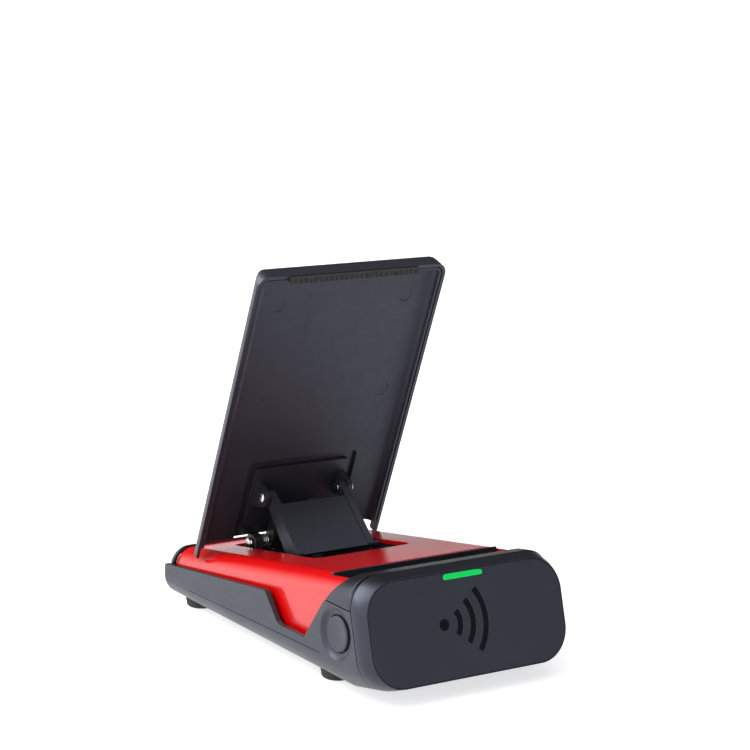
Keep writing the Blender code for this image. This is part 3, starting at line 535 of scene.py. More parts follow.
def lit_lens():
    """Clear green light lens, brighter where the diodes sit behind it."""
    nodes = Nodes("light_green")
    glow = nodes.span(nodes.noise(420, 1, 0.5, (1, 0.2, 0.2)), 0.75, 1.0)
    nodes.set(Base_Color=nodes.mix(glow, (0.0, 0.03, 0.006), (0.0, 0.05, 0.012)), Roughness=0.22,
              Emission_Color=nodes.mix(glow, (0.0, 0.56, 0.085), (0.002, 0.72, 0.125)),
              Emission_Strength=0.85)
    return nodes.material


def soft_rubber():
    """Matt black rubber with a dusty, slightly rough skin."""
    nodes = Nodes("rubber")
    dust = nodes.span(nodes.noise(700, 5, 0.75), 0.0, 1.0)
    nodes.set(Base_Color=nodes.mix(dust, (0.010, 0.010, 0.011), (0.021, 0.021, 0.022)),
              Roughness=nodes.span(nodes.noise(1500, 3), 0.72, 0.92),
              Normal=nodes.bump(nodes.noise(2600, 3), 0.25, 0.00006))
    return nodes.material


def turned_steel():
    """Bright steel with fine turning lines and small stains."""
    nodes = Nodes("steel")
    lines = nodes.noise(2400, 2, 0.5, (3, 0.3, 0.3))
    stains = nodes.span(nodes.noise(900, 4, 0.7), 0.0, 1.0)
    nodes.set(Base_Color=nodes.mix(stains, (0.66, 0.65, 0.63), (0.52, 0.51, 0.50)), Metallic=1.0,
              Roughness=nodes.span(lines, 0.16, 0.32),
              Normal=nodes.bump(lines, 0.12, 0.00003))
    return nodes.material


def solder_mask():
    """Green board lacquer over a faint grid of copper tracks."""
    nodes = Nodes("board_green")
    tracks = nodes.add("ShaderNodeTexBrick", {
        "Scale": 320, "Mortar Size": 0.03, "Color1": (0.006, 0.075, 0.030, 1),
        "Color2": (0.007, 0.088, 0.034, 1), "Mortar": (0.030, 0.190, 0.070, 1),
        "Vector": nodes.place}, offset=0.5)
    nodes.set(Base_Color=tracks.outputs["Color"], Roughness=nodes.span(nodes.noise(800, 3), 0.28, 0.42),
              Normal=nodes.bump(tracks.outputs["Fac"], 0.3, 0.00004))
    return nodes.material


def shrink_wrap():
    """Blue film shrunk over the cell, with fine wrinkles."""
    nodes = Nodes("cell_wrap")
    wrinkles = nodes.noise(260, 4, 0.6, (1, 4, 1))
    nodes.set(Base_Color=nodes.mix(nodes.span(wrinkles, 0, 1), (0.018, 0.040, 0.150), (0.030, 0.060, 0.210)),
              Roughness=nodes.span(nodes.noise(700, 2), 0.22, 0.38),
              Normal=nodes.bump(wrinkles, 0.35, 0.00012))
    return nodes.material


def flexible_film():
    """Orange polyimide film with parallel copper tracks."""
    nodes = Nodes("cable_orange")
    tracks = nodes.add("ShaderNodeTexWave", {"Scale": 420, "Vector": nodes.place}, wave_type="BANDS",
                       bands_direction="X")
    nodes.set(Base_Color=nodes.mix(tracks.outputs["Fac"], (0.40, 0.13, 0.015), (0.60, 0.24, 0.04)),
              Roughness=nodes.span(nodes.noise(900, 2), 0.28, 0.42))
    return nodes.material


PLASTICS = {                     # colour, tint, roughness from and to, strength of the grain
    "black_plastic": ((0.0125, 0.0130, 0.0160), (0.0155, 0.0160, 0.0195), (0.36, 0.46), 0.10),
    "bezel_plastic": ((0.0070, 0.0073, 0.0090), (0.0090, 0.0094, 0.0115), (0.30, 0.38), 0.03),
    "face_plastic": ((0.0135, 0.0138, 0.0180), (0.0160, 0.0165, 0.0215), (0.46, 0.58), 0.16),
    "gloss_black": ((0.0040, 0.0040, 0.0050), (0.0055, 0.0055, 0.0065), (0.12, 0.20), 0.03),
}
MATERIALS = {name: moulded_plastic(name, *look) for name, look in PLASTICS.items()}
MATERIALS.update(red_plastic=polished_red(), light_green=lit_lens(), rubber=soft_rubber(),
                 steel=turned_steel(), board_green=solder_mask(), cell_wrap=shrink_wrap(),
                 cable_orange=flexible_film())

# ---- body shells


def tub_room():
    """Cutter for the space inside the tub, one wall in from the body's skin, open above and in front."""
    half, low, corner = BODY_HALF_WIDTH - WALL, BELLY_Z + WALL, CORNER_BELLY - WALL
    front = (half, low + BELLY_RISE, -0.01, FACE_CORNER - WALL, 0.002)
    return loft("hollow", [face_ring(*front, 0.010), face_ring(*front, -BEZEL_DEPTH - GAP),
                           cross_ring(half, low, -0.01, corner, 0.002, BELLY_RISE_Y + 0.010),
                           cross_ring(half, low, -0.01, corner, 0.002, CUT_Y)])


def tub():
    """Lower case: thin side rails, the window for the red shell, the button dish and the moulding seam."""
    obj = body_skin("tub_skin")
    boolean(obj, plate("rim", rim_outline(), -0.06, 0.06, SIDE))
    boolean(obj, tub_room())
    boolean(obj, button_dish())
    boolean(obj, rod("bore", (-0.045, BUTTON_Y, BUTTON_Z), (-0.036, BUTTON_Y, BUTTON_Z),
                     BUTTON_RADIUS + GAP, steps=72))
    boolean(obj, socket_plate("mouth", 0.0045, 0.0021, 0.0020, 0.036, 0.045))
    for side in (-1, 1):
        boolean(obj, seam_groove(side))
        for y in SCREW_Y:
            place = (side * SCREW_X, y)
            boolean(obj, rod("screw_bore", (*place, 0), (*place, 0.01), SCREW_RADIUS + GAP, steps=24))
            boolean(obj, rod("screw_seat", (*place, 0), (*place, BELLY_Z + 0.0010), 0.0029, steps=40))
    boolean(obj, label_recess())
    dress(rounded(obj), "base", "black_plastic", "base_tub")


def rim_outline():
    """Everything above the tub's side walls, seen from the side."""
    slope = (RAIL_FRONT[1] - RAIL_REAR[1]) / (RAIL_REAR[0] - RAIL_FRONT[0])
    return fillet([
        (CUT_Y, RAIL_REAR[1] - (CUT_Y - RAIL_REAR[0]) * slope, 0),
        (*RAIL_FRONT, 0.0018),
        (WINDOW_SILL_REAR_Y, WINDOW_SILL_Z, 0.0040),
        (WINDOW_SILL_FRONT_Y, WINDOW_SILL_Z, 0.0006),
        (window_edge_y(FRONT_SEAM_Z), FRONT_SEAM_Z, 0),
        (-CUT_Y, FRONT_SEAM_Z, 0),
        (-CUT_Y, 0.080, 0),
        (CUT_Y, 0.080, 0)], 10)


def window_returns():
    """Inward ribs along the windows' leaning front edges; they close the space beside the red shell."""
    foot, head, sheet = WINDOW_SILL_Z - 0.002, FRONT_SEAM_Z - GAP, 0.0009
    outline = [(window_edge_y(foot), foot), (window_edge_y(head), head),
               (window_edge_y(head) - sheet, head), (window_edge_y(foot) - sheet, foot)]
    outer = BODY_HALF_WIDTH - WALL - GAP / 10
    inner = SHELL_HALF_WIDTH - SHELL_THICKNESS
    for side, hand in SIDES:
        rib = side_plate("window_return_" + hand, outline, side, inner, outer, SIDE)
        dress(rounded(rib, 0.0001), "base", "black_plastic")


def button_dish():
    """Soft-edged round hollow around the power button."""
    face, steps = -BODY_HALF_WIDTH, 8
    profile = [(DISH_RADIUS + 0.0012, -0.0006)]
    for step in range(steps + 1):
        share = step / steps
        ease = share * share * (3 - 2 * share)
        profile.append((DISH_RADIUS + 0.0006 - (DISH_RADIUS - BUTTON_RADIUS - 0.0004) * share,
                        -0.00001 + DISH_DEPTH * ease))
    return turned("dish", profile, Matrix.Translation((face, BUTTON_Y, BUTTON_Z)) @ SIDE, 96)


def seam_groove(side):
    """Cutter for the fine seam that runs along the tub's side, a little above its lower round."""
    rear, front, width, depth = 0.0672, -0.0355, 0.00022, 0.0004
    rear_z, front_z = 0.0093, 0.0119
    outline = [(rear, rear_z), (front, front_z), (front, front_z + width), (rear, rear_z + width)]
    return side_plate("seam", outline, side, BODY_HALF_WIDTH - depth, BODY_HALF_WIDTH + 0.001, SIDE)


def label_recess():
    """Shallow blank recess under the body, where such a device carries its rating label."""
    outline = rounded_rectangle(0.0210, -0.004, 0.032, 0.0025, 0.0025, 8)
    return plate("label", outline, 0.0, BELLY_Z + 0.0003, PLAN)


def bridge():
    """Black bridge between the bezel and the red shell; its rear edge is the phone's lip."""
    obj = body_skin("bridge_skin")
    seam = FRONT_SEAM_Z + GAP
    boolean(obj, plate("side", ahead_of_window(seam, 0.060, 0), -0.06, 0.06, SIDE), "INTERSECT")
    inside = wedge("inside", BODY_HALF_WIDTH - WALL, 0.004, WALL, 0.002, CORNER_TOP - WALL, 0.010,
                   BODY_REAR_Y)
    shift = WALL * hypot(1, WINDOW_LEAN)
    boolean(inside, plate("room", ahead_of_window(0.02, 0.060, -shift), -0.05, 0.05, SIDE), "INTERSECT")
    boolean(obj, inside)
    dress(rounded(obj), "base", "bezel_plastic", "front_bridge")


def inset_face(inset):
    return rounded_rectangle(FACE_HALF_WIDTH - inset, inset, FACE_HEIGHT - inset,
                             FACE_CORNER - inset, FACE_CORNER - inset, 18)


def light_outline(grow):
    reach = LIGHT_HALF_HEIGHT + grow
    outline = rounded_rectangle(LIGHT_HALF_WIDTH + grow, -reach, reach, reach * 0.98, reach * 0.98, 10)
    return [(x, rise + LIGHT_CENTRE) for x, rise in outline]


def bezel():
    """Ring around the face: crisp along the top, rolled round at the sides and below."""
    inverse = FACE.inverted()
    rear = face_ring(BODY_HALF_WIDTH, BELLY_Z + BELLY_RISE, 0, FACE_CORNER, FACE_CORNER, -BEZEL_DEPTH)
    heights = [(inverse @ point).y for point in rear]
    low, high = min(heights), max(heights)
    rings, steps = [], 16
    for step in range(steps + 1):
        depth = step / steps
        turn_in = depth ** 2
        half = BODY_HALF_WIDTH + (FACE_HALF_WIDTH - BODY_HALF_WIDTH) * turn_in
        outline = rounded_rectangle(half, low * (1 - turn_in), high + (FACE_HEIGHT - high) * depth,
                                    FACE_CORNER, FACE_CORNER, 18)
        rings.append([FACE @ Vector((x, rise, -BEZEL_DEPTH * (1 - depth))) for x, rise in outline])
    obj = loft("bezel_skin", rings)
    boolean(obj, plate("recess", inset_face(0.0003), -FACE_PLATE_THICKNESS - GAP, 0.01, FACE))
    boolean(obj, plate("opening", inset_face(0.0045), -0.02, 0.0, FACE))
    boolean(obj, plate("slot", light_outline(GAP), -0.02, 0.0, FACE))
    dress(rounded(obj, 0.00016), "base", "bezel_plastic", "front_bezel")


def face():
    """Flat face plate, with a pressed mark of plain radar arcs and a slot for the light."""
    obj = plate("face_skin", inset_face(0.0003 + GAP / 2), -FACE_PLATE_THICKNESS, 0, FACE)
    boolean(obj, plate("slot", light_outline(GAP / 3), -0.01, 0.01, FACE))
    for index, outline in enumerate(mark_outlines(0.0)):
        boolean(obj, plate(f"groove_{index}", outline, -0.00035, 0.01, FACE))
    dress(rounded(obj, 0.00012), "base", "face_plastic", "face_plate")
    for index, outline in enumerate(mark_outlines(0.00008)):
        inlay = plate(f"face_mark_{index}", outline, -0.00033, -0.00016, FACE)
        dress(rounded(inlay, 0.00004, 2), "base", "gloss_black")


def mark_outlines(inset):
    """A generic radar mark: a round source and three bands of arcs opening to the right."""
    centre_x, centre_rise, half_band, spread = -0.0095, 0.0178, 0.00105, 38.0
    outlines = [arc(centre_x, centre_rise, 0.0019 - inset, 0, 348, 29)]
    for radius in (0.0062, 0.0112, 0.0162):
        trim = degrees(inset / radius)
        outer = arc(centre_x, centre_rise, radius + half_band - inset, -spread + trim, spread - trim, 24)
        inner = arc(centre_x, centre_rise, radius - half_band + inset, spread - trim, -spread + trim, 24)
        outlines.append(outer + inner)
    return outlines


def status_light():
    lens = plate("status_lens", light_outline(-GAP / 3), -0.0064, 0.00004, FACE)
    dress(rounded(lens, 0.00022, 4), "base", "light_green", "light_pipe")


def red_shell():
    """Glossy red top with the hinge well and the phone slot."""
    obj = wedge("red_shell_skin", SHELL_HALF_WIDTH, SHELL_RIM_Z, SHELL_DROP, 0.0005, SHELL_CORNER,
                -0.001, SHELL_REAR_Y)
    boolean(obj, wedge("hollow", SHELL_HALF_WIDTH - SHELL_THICKNESS, -0.004,
                       SHELL_DROP + SHELL_THICKNESS, 0.0005, SHELL_CORNER - SHELL_THICKNESS,
                       0.010, CUT_Y))
    gap = GAP * hypot(1, WINDOW_LEAN)
    boolean(obj, plate("front", ahead_of_window(0.0, 0.060, gap), -0.06, 0.06, SIDE))
    well = rounded_rectangle(WELL_HALF_WIDTH, WELL_FRONT_Y, WELL_REAR_Y, 0.003, 0.003, 8)
    boolean(obj, plate("well", well, 0.005, 0.06, PLAN))
    floor_z = shell_z(SLOT_REAR_Y) - 0.006
    slot = [(-CUT_Y, floor_z), (SLOT_REAR_Y + GAP, floor_z), (SLOT_REAR_Y + GAP, 0.06), (-CUT_Y, 0.06)]
    boolean(obj, plate("slot", slot, -SLOT_HALF_WIDTH - GAP, SLOT_HALF_WIDTH + GAP, SIDE))
    dress(rounded(obj, 0.0003, 4), "base", "red_plastic", "top_shell")


def ledge_point(reach, depth):
    """A point (y, z) of the ledge: reach back along a resting phone's edge, depth below it."""
    y = SLOT_REST_Y + reach * cos(PHONE_LEAN) - depth * sin(PHONE_LEAN)
    z = SLOT_REST_Z - reach * sin(PHONE_LEAN) - depth * cos(PHONE_LEAN)
    return y, z


def lip_reach(depth):
    """Reach at which the ledge, at that depth, comes within a gap of the bridge."""
    y, z = ledge_point(0, depth)
    missing = window_edge_y(z) + 2 * GAP - y
    return missing / (cos(PHONE_LEAN) - WINDOW_LEAN * sin(PHONE_LEAN))


def ledge():
    """Phone ledge and its ribbed rubber pad."""
    pad, sheet, wall = 0.0010, 0.0021, 0.0012
    near, far = 0.0008, 0.0108
    top, base, rear = pad + GAP, pad + GAP + sheet, SLOT_REAR_Y
    profile = [ledge_point(lip_reach(top), top), ledge_point(lip_reach(base), base),
               (rear, ledge_point(far, base)[1]), (rear, shell_z(rear) - GAP / 3),
               (rear - wall, shell_z(rear - wall) - GAP / 3),
               (rear - wall, ledge_point(far + GAP, top)[1]), ledge_point(far + GAP, top)]
    body = plate("ledge_skin", profile, -SLOT_HALF_WIDTH, SLOT_HALF_WIDTH, SIDE)
    dress(rounded(body), "base", "black_plastic", "phone_ledge")
    ribs, outline = 5, [ledge_point(near, pad), ledge_point(near, 0)]
    pitch = (far - near) / ribs
    for rib in range(ribs):
        start = near + rib * pitch
        outline += [ledge_point(start + pitch * 0.62, 0), ledge_point(start + pitch * 0.70, 0.00035),
                    ledge_point(start + pitch * 0.92, 0.00035), ledge_point(start + pitch, 0)]
    outline.append(ledge_point(far, pad))
    half = SLOT_HALF_WIDTH - 0.001
    dress(rounded(plate("ledge_pad_skin", outline, -half, half, SIDE), 0.00008, 2), "base", "rubber",
          "ledge_pad")


def rear_end():
    """Rear ring and the radar window inside it."""
    front, rear = SHELL_REAR_Y + GAP, BODY_REAR_Y
    half, low = BODY_HALF_WIDTH - WALL - GAP, BELLY_Z + WALL + GAP
    ring = loft("rear_ring_skin", [cross_ring(half, low, 0, 0.0062, 0.0072, front),
                                   cross_ring(half, low, 0, 0.0062, 0.0072, rear)])
    seat = 0.0019
    opening = (half - seat, low + seat, seat, 0.0044, 0.0044)
    boolean(ring, loft("opening", [cross_ring(*opening, front - 0.004),
                                   cross_ring(*opening, rear + 0.004)]))
    dress(rounded(ring, 0.0005, 5), "base", "bezel_plastic", "rear_bezel")
    inner = seat + GAP
    section = (half - inner, low + inner, inner, 0.0042, 0.0042)
    window = loft("radar_window_skin", [cross_ring(*section, rear - 0.0016),
                                        cross_ring(*section, rear - 0.0006)])
    dress(rounded(window, 0.0003), "base", "gloss_black", "radar_window")


# ---- well, tray and hinge


def cross_bore(obj, centre):
    """Drill a piece from side to side for a pin."""
    boolean(obj, rod("bore", centre - ACROSS * 0.03, centre + ACROSS * 0.03, PIN_BORE, steps=40))


def tray():
    """Black tray under the well: hinge lugs, guide rails for the strut and stiffening ribs."""
    front, rear, skin = TRAY_LOW.y, TRAY_HIGH.y, 0.0012
    under, half = SHELL_THICKNESS + GAP, TRAY_HIGH.x
    profile = [(front, shell_z(front) - under), (front, shell_z(front) - WELL_DEPTH),
               (rear, shell_z(rear) - WELL_DEPTH), (rear, shell_z(rear) - under)]
    obj = plate("tray_skin", profile, -half, half, SIDE)
    room = [(front + skin, 0.06), (front + skin, shell_z(front + skin) - WELL_DEPTH + skin),
            (rear - skin, shell_z(rear - skin) - WELL_DEPTH + skin), (rear - skin, 0.06)]
    boolean(obj, plate("room", room, -half + skin, half - skin, SIDE))
    for side in (-1, 1):
        foot_z = shell_z(HINGE.y) - WELL_DEPTH + skin / 2
        lug = fillet([(HINGE.y - 0.0042, foot_z, 0), (HINGE.y + 0.0042, foot_z, 0),
                      (HINGE.y + 0.0031, HINGE.z + 0.0031, 0.0030),
                      (HINGE.y - 0.0031, HINGE.z + 0.0031, 0.0030)], 10)
        boolean(obj, side_plate("lug", lug, side, 0.0122, 0.0156, SIDE), "UNION")
        boolean(obj, side_plate("guide", guide_rail(front + skin / 2), side, GUIDE_X,
                                WELL_HALF_WIDTH - GAP, SIDE), "UNION")
    for index in range(4):
        y = 0.004 + index * 0.0075
        floor_z = shell_z(y) - WELL_DEPTH + skin
        boolean(obj, box("rib", (-0.0125, y, floor_z - 0.0010), (0.0125, y + 0.0009, floor_z + 0.0008)),
                "UNION")
    cross_bore(obj, HINGE)
    dress(rounded(obj, 0.00018), "base", "black_plastic", "hinge_tray")


def guide_rail(front):
    """Side view of a rail for the strut's peg, ending in the catch."""
    (open_y, open_height), (folded_y, folded_height) = GUIDE_OPEN, GUIDE_FOLDED
    slope = (open_height - folded_height) / (open_y - folded_y)
    catch = open_y + PEG_RADIUS + GAP
    rear = catch + 0.0019

    def rail_z(y):
        return shell_z(y) + open_height + (y - open_y) * slope - PEG_RADIUS - GAP

    def floor_z(y):
        return shell_z(y) - WELL_DEPTH + 0.0006

    return [(front, floor_z(front)), (rear, floor_z(rear)), (rear, shell_z(rear) + open_height),
            (catch, shell_z(catch) + open_height), (catch, rail_z(catch)), (front, rail_z(front))]


def headed_pin(name, centre, hand, tip, head, body, node):
    """Steel pin with a rounded head and a chamfered tip."""
    shank, radius, depth = head - tip, 0.0020, 0.0009
    rim = -shank - 0.0001
    profile = [(PIN_RADIUS * 0.75, 0.0), (PIN_RADIUS, -0.0003), (PIN_RADIUS, -shank),
               (radius * 0.97, -shank), (radius, rim)]
    for lift in range(12, 85, 12):
        turn = radians(lift)
        profile.append((radius * cos(turn), rim - depth * sin(turn)))
    across, up = ((0, 1, 0), (0, 0, 1)) if hand < 0 else ((0, 0, 1), (0, 1, 0))
    obj = turned(name, profile, basis(across, up, centre + ACROSS * hand * tip), 40)
    dress(rounded(obj, 0), body, "steel", node)


def hinge_spring(hand, tag):
    """Torsion spring on the hinge pin: coils and two legs, one on the tray and one towards the stand."""
    coil, radius, turns, per_turn = 0.0022, 0.00030, 3.25, 28
    start, end = 0.0090, 0.0117
    count = int(turns * per_turn)
    path = [(hand * start, HINGE.y - 0.0058, HINGE.z - coil)]
    for index in range(count + 1):
        angle = -pi / 2 + 2 * pi * index / per_turn
        x = start + (end - start) * index / count
        path.append((hand * x, HINGE.y + coil * cos(angle), HINGE.z + coil * sin(angle)))
    path.append((hand * end, HINGE.y + coil, HINGE.z - 0.0034))
    dress(wire("spring_" + tag, path, radius), "base", "steel", "hinge_spring_" + tag)


def hinge_hardware():
    for hand, tag in SIDES:
        headed_pin("hinge_pin_skin_" + tag, HINGE, hand, 0.0048, 0.0160, "base", "hinge_pin_" + tag)
        headed_pin("strut_pin_skin_" + tag, STRUT_PIN, hand, 0.0125, 0.0181, "stand", "strut_pin_" + tag)
        hinge_spring(hand, tag)


# ---- button, socket, feet and screws


def power_button():
    """Round cap with a softly dished face."""
    face, inner = -BODY_HALF_WIDTH + 0.0004, -BODY_HALF_WIDTH + WALL + GAP
    reach, flange, radius = inner - face, BUTTON_RADIUS + 0.0008, BUTTON_RADIUS - 0.00015
    profile = [(flange, BUTTON_FLANGE), (flange, 0.0), (radius, 0.0)]
    profile += arc(radius - 0.0005, -reach + 0.0005, 0.0005, 0, -90, 6)
    steps, dip = 6, 0.00025
    for step in range(1, steps + 1):
        share = 1 - step / (steps + 0.4)
        profile.append(((radius - 0.0005) * share, -reach + dip * (1 - share ** 2)))
    obj = turned("button_skin", profile, Matrix.Translation((inner, BUTTON_Y, BUTTON_Z)) @ SIDE, 72)
    dress(rounded(obj, 0), "power_button", "black_plastic", "power_button")


def socket_plate(name, half_length, half_height, radius, low, high):
    """Rounded slab around the charging socket's middle, from low to high along X."""
    outline = rounded_rectangle(half_length, USB_Z - half_height, USB_Z + half_height, radius, radius, 8)
    return plate(name, [(USB_Y + a, b) for a, b in outline], low, high, SIDE)


def charging_socket():
    """Metal socket shell with its contact tongue."""
    obj = socket_plate("socket_skin", 0.0039, 0.0015, 0.0014, 0.0330, 0.0388)
    boolean(obj, socket_plate("cavity", 0.0035, 0.0011, 0.0010, 0.0340, 0.0400))
    dress(rounded(obj, 0.00010, 2), "base", "steel", "usb_port")
    tongue = box("socket_tongue", (0.0341, USB_Y - 0.0026, USB_Z - 0.00035),
                 (0.0380, USB_Y + 0.0026, USB_Z + 0.00035))
    dress(rounded(tongue, 0.00010, 2), "base", "gloss_black")


def four_places(x, rows):
    """Place and name of each of four like pieces: two sides, with a front and a rear row."""
    return [(side * x, y, f"{row}_{hand}") for side, hand in SIDES
            for y, row in zip(rows, ("front", "rear"))]


def feet():
    """Round rubber feet with a soft lower edge and a ring groove."""
    profile = [(0.0056, FOOT_HEIGHT), (0.0056, FOOT_HEIGHT - 0.0009)]
    profile += arc(0.0040, 0.0014, 0.0014, 15, -90, 8)
    profile += [(0.0031, 0.0), (0.0029, 0.0003), (0.0024, 0.0003), (0.0022, 0.0), (0.0004, 0.0)]
    for x, y, tag in four_places(FOOT_X, FOOT_Y):
        obj = turned("foot_skin_" + tag, profile, Matrix.Translation((x, y, 0)))
        dress(rounded(obj, 0), "base", "rubber", "foot_" + tag)


def screws():
    """Pan-head screws with a cross recess, seated in the underside."""
    tip, seat, under = 0.0110, BELLY_Z + 0.0010 - GAP, BELLY_Z - 0.0001
    profile = [(0.0001, tip), (SCREW_RADIUS, tip - 0.0006), (SCREW_RADIUS, seat), (0.0025, seat)]
    profile += arc(0.0020, under + 0.0005, 0.0005, 0, -90, 5) + [(0.0001, under)]
    for x, y, tag in four_places(SCREW_X, SCREW_Y):
        obj = turned("screw_skin_" + tag, profile, Matrix.Translation((x, y, 0)), 40)
        for long, wide in ((0.0014, 0.0003), (0.0003, 0.0014)):
            low, high = (x - long, y - wide, under - 0.001), (x + long, y + wide, under + 0.0006)
            boolean(obj, box("slot", low, high))
        dress(rounded(obj, 0.00005, 2), "base", "steel", "screw_" + tag)


# ---- stand


def arch(inset, low):
    """Closed section (x, w) of the stand: flat back, rounded shoulders, open towards the front."""
    half, back, radius = STAND_HALF_WIDTH - inset, STAND_DEPTH - inset, STAND_ROUND - inset
    return rounded_rectangle(half, low, back, 0, radius, 18)


def stand_outline(inset=0.0, foot=STAND_FOOT, tip=0.0010):
    """Front view (x, v) of the stand: rounded head, and small round tips below."""
    half, head, shoulder = STAND_HALF_WIDTH - inset, STAND_HEAD - inset, STAND_SHOULDER - inset
    return rounded_rectangle(half, foot, head, tip, shoulder)


def stand_room(inset):
    """Cutter for the space inside the stand, that far in from its outer surface."""
    room = plate("room", arch(inset, -0.02), -0.03, STAND_HEAD, STAND)
    outline = plate("outline", stand_outline(inset, -0.04, 0), -0.03, 0.03, STAND_FRONT)
    return boolean(room, outline, "INTERSECT")


def foot_notch():
    """Cutter that lifts the stand's lower edge between its two tips."""
    half = STAND_HALF_WIDTH - STAND_SKIN + 0.0001
    notch = rounded_rectangle(half, -0.03, 0.0015, 0, 0.0010, 10)
    return plate("notch", notch, -0.03, 0.03, STAND_FRONT)


def stand_side_outline():
    """Side view (w, v) of the stand, with its lower back corner rounded off."""
    front, head = -0.01, STAND_HEAD + 0.01
    return fillet([(front, STAND_FOOT, 0), (STAND_DEPTH, STAND_FOOT, 0.0030),
                   (STAND_DEPTH + 0.001, 0.030, 0), (STAND_DEPTH + 0.001, head, 0), (front, head, 0)], 10)


def stand_panel():
    """Outer shell of the stand."""
    obj = plate("stand_skin", arch(0, 0), STAND_FOOT, STAND_HEAD, STAND)
    boolean(obj, plate("outline", stand_outline(), -0.03, 0.03, STAND_FRONT), "INTERSECT")
    boolean(obj, stand_room(STAND_SKIN))
    boolean(obj, foot_notch())
    boolean(obj, plate("side", stand_side_outline(), -0.05, 0.05, STAND_SIDE), "INTERSECT")
    dress(rounded(obj, 0.0003, 4), "stand", "black_plastic", "stand_panel")


def stand_liner():
    """Inner shell of the stand: the pocket for the bracket and round ejector marks."""
    outer, foot, rim = STAND_SKIN + GAP, 0.0004, 0.0002
    obj = plate("liner_skin", arch(outer, rim), foot, STAND_HEAD, STAND)
    boolean(obj, plate("outline", stand_outline(outer, foot - 0.01, 0), -0.03, 0.03, STAND_FRONT),
            "INTERSECT")
    boolean(obj, stand_room(outer + LINER_SKIN))
    boolean(obj, foot_notch())
    pocket = rounded_rectangle(POCKET_HALF_WIDTH, -0.02, POCKET_HEAD, 0, 0.0020, 8)
    boolean(obj, plate("pocket", pocket, -0.03, 0.0, STAND_FRONT))
    inside = STAND_DEPTH - outer - LINER_SKIN
    for x in (-0.0255, 0.0255):
        for v in (0.058, 0.096):
            start = STAND @ Vector((x, inside - 0.001, v))
            end = STAND @ Vector((x, inside + 0.0002, v))
            boolean(obj, rod("mark", start, end, 0.0026, steps=40))
    dress(rounded(obj, 0.00020), "stand", "face_plastic", "stand_liner")


def stand_bracket():
    """Bracket in the pocket: knuckles on the hinge pins, lugs for the strut pins."""
    back = STAND_DEPTH - STAND_SKIN - GAP
    hinge_w, sheet = -STAND_RIM, 0.0012
    strut_w = hinge_w + STRUT_PIN_W
    root = back - 0.0003
    outline = rounded_rectangle(0.0192, 0.0062, 0.0300, 0.0012, 0.0012, 6)
    obj = plate("bracket_skin", outline, -back, -back + sheet, STAND_FRONT)
    for hand in (-1, 1):
        eye = 0.0026
        knuckle = fillet([(hinge_w - eye, -eye, 0.0025), (root, -eye, 0.0022), (root, 0.0150, 0),
                          (root - sheet, 0.0150, 0), (hinge_w - eye, 0.0030, 0.0024)], 9)
        boolean(obj, side_plate("knuckle", knuckle, hand, 0.0052, 0.0084, STAND_SIDE), "UNION")
        lug = fillet([(strut_w - 0.0026, STRUT_PIN_V - 0.0026, 0.0025),
                      (back - sheet / 2, STRUT_PIN_V - 0.0070, 0),
                      (back - sheet / 2, STRUT_PIN_V + 0.0038, 0),
                      (strut_w - 0.0026, STRUT_PIN_V + 0.0026, 0.0025)], 9)
        boolean(obj, side_plate("lug", lug, hand, 0.0160, 0.0178, STAND_SIDE), "UNION")
    cross_bore(obj, HINGE)
    cross_bore(obj, STRUT_PIN)
    dress(rounded(obj, 0.00016), "stand", "black_plastic", "stand_bracket")


def rest_strip():
    """Rubber strip along the stand's head, with fine ribs."""
    low, high = STAND_HEAD - 0.0026, STAND_HEAD - 0.0004
    strip = rounded_rectangle(0.0260, low, high, 0.0010, 0.0010, 6)
    obj = plate("rest_strip_skin", strip, GAP / 20, GAP + 0.0009, STAND_FRONT)
    for index in range(25):
        x = -0.024 + index * 0.002
        groove = plate("rib", [(x - 0.0002, low + 0.0003), (x + 0.0002, low + 0.0003),
                               (x + 0.0002, high - 0.0003), (x - 0.0002, high - 0.0003)],
                       GAP + 0.0006, GAP + 0.0020, STAND_FRONT)
        boolean(obj, groove)
    dress(rounded(obj, 0.00006, 2), "stand", "rubber", "phone_rest_strip")


def strut():
    """Channel-section prop with flanges and guide pegs."""
    foot = -STRUT_LENGTH
    front, sheet, step, head = 0.0022, 0.0014, 0.0003, -0.0048
    half = STRUT_HALF_WIDTH - step
    obj = plate("strut_skin", [(-half, foot + step), (half, foot + step), (half, head), (-half, head)],
                front - sheet, front - step, STRUT_FRONT)
    flange = fillet([(-front, foot, 0.0004), (0.0046, foot + 0.0050, 0.0012), (front, -0.0012, 0),
                     (front, front, 0.0019), (-front, front, 0.0019)], 9)
    peg = STRUT_SIDE @ Vector((*PEG_PLACE, 0))
    for hand in (-1, 1):
        boolean(obj, side_plate("flange", flange, hand, 0.0132, STRUT_HALF_WIDTH, STRUT_SIDE), "UNION")
        boolean(obj, rod("peg", peg + ACROSS * hand * (STRUT_HALF_WIDTH - 0.0010),
                         peg + ACROSS * hand * PEG_END_X, PEG_RADIUS, steps=32), "UNION")
    cross_bore(obj, STRUT_PIN)
    dress(rounded(obj, 0.00018), "strut", "black_plastic", "strut")


# ---- inside pieces


def inner_pieces():
    """Boards, shields, cell and cable keep their CAD shapes and take finished materials."""
    finishes = {"steel": ("processor_shield", "radar_shield", "tact_switch"),
                "board_green": ("main_board", "light_board", "radar_board", "usb_board", "button_board"),
                "cell_wrap": ("battery_pack",), "cable_orange": ("antenna_cable",)}
    for slot, names in finishes.items():
        for name in names:
            paint(frame["nodes"][name], slot)


# ---- studio


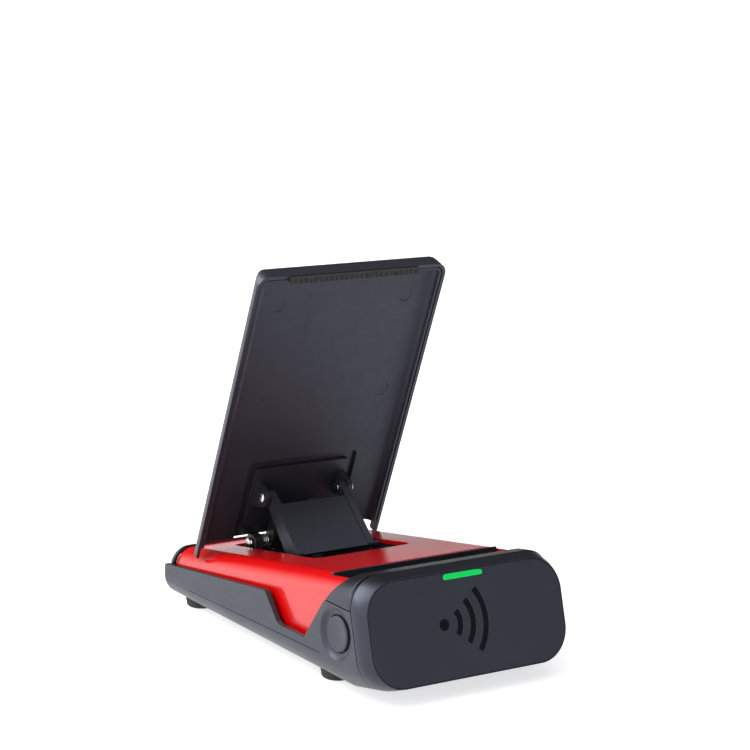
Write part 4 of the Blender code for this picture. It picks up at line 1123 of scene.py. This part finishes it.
def studio_floor():
    bpy.ops.mesh.primitive_plane_add(size=40)
    floor = bpy.context.object
    floor.name = "floor"
    nodes = Nodes("floor_white")
    paper = nodes.mix(nodes.span(nodes.noise(3, 2), 0, 1), (0.60, 0.60, 0.605), (0.585, 0.585, 0.59))
    nodes.set(Base_Color=paper, Roughness=0.75, Emission_Color=paper, Emission_Strength=FLOOR_GLOW,
              Specular_IOR_Level=0.1)
    floor.data.materials.append(nodes.material)


def dim_share(tree):
    """How far a direction lies towards one of the darker sides, as a dot product."""
    place = add_node(tree, "ShaderNodeTexCoord", {}).outputs["Generated"]
    shares = [add_node(tree, "ShaderNodeVectorMath", {0: place, 1: Vector(side).normalized()},
                       operation="DOT_PRODUCT").outputs["Value"] for side in DIM_SIDES]
    return add_node(tree, "ShaderNodeMath", dict(enumerate(shares)), operation="MAXIMUM").outputs["Value"]


def studio_world():
    """White surroundings, dimmer towards two sides, and plain white behind the object."""
    world = bpy.data.worlds.new("studio")
    world.use_nodes = True
    tree = world.node_tree
    ramp = add_node(tree, "ShaderNodeValToRGB", {"Fac": dim_share(tree)})
    ramp.color_ramp.interpolation = "EASE"
    for element, position, colour in zip(ramp.color_ramp.elements, (0.40, 0.85), ((1, 1, 1), DIM_COLOUR)):
        element.position = position
        element.color = (*colour, 1)
    rays = add_node(tree, "ShaderNodeLightPath", {})
    seen = add_node(tree, "ShaderNodeMix", {"A": ramp.outputs["Color"], "B": (1, 1, 1, 1),
                                            "Factor": rays.outputs["Is Camera Ray"]}, data_type="RGBA")
    background = tree.nodes["Background"]
    feed(tree, background.inputs["Color"], seen.outputs["Result"])
    feed(tree, background.inputs["Strength"], WORLD_STRENGTH)
    bpy.context.scene.world = world


def key_light():
    """One large soft light, from above and behind on the left."""
    light = bpy.data.lights.new("key", "AREA")
    light.shape = "SQUARE"
    light.size = KEY_SIZE
    light.energy = KEY_POWER
    lamp = bpy.data.objects.new("key", light)
    bpy.context.scene.collection.objects.link(lamp)
    lamp.location = KEY_PLACE
    lamp.rotation_euler = (Vector(KEY_TARGET) - Vector(KEY_PLACE)).to_track_quat("-Z", "Y").to_euler()


def camera():
    """Three-quarter view from the front left, slightly above, with a long lens."""
    level_reach = cos(CAMERA_PITCH)
    ahead = Vector((sin(CAMERA_TURN) * level_reach, cos(CAMERA_TURN) * level_reach,
                    -sin(CAMERA_PITCH)))
    level = ahead.cross(Vector((0, 0, 1))).normalized()
    upright = level.cross(ahead)
    right = level * cos(CAMERA_ROLL) + upright * sin(CAMERA_ROLL)
    up = upright * cos(CAMERA_ROLL) - level * sin(CAMERA_ROLL)
    lens = bpy.data.cameras.new("camera")
    lens.sensor_width = 36.0
    lens.lens = CAMERA_LENS
    lens.clip_start = 0.01
    eye = bpy.data.objects.new("camera", lens)
    bpy.context.scene.collection.objects.link(eye)
    place = Matrix((right, up, -ahead)).transposed().to_4x4()
    place.translation = CAMERA_PLACE
    eye.matrix_world = place
    bpy.context.scene.camera = eye


# ---- build

tub()
window_returns()
bridge()
bezel()
face()
status_light()
red_shell()
ledge()
rear_end()
tray()
hinge_hardware()
power_button()
charging_socket()
feet()
screws()
stand_panel()
stand_liner()
stand_bracket()
rest_strip()
strut()
inner_pieces()

studio_floor()
studio_world()
key_light()
camera()
bpy.context.scene.view_settings.view_transform = "Standard"

bpy.context.view_layer.update()
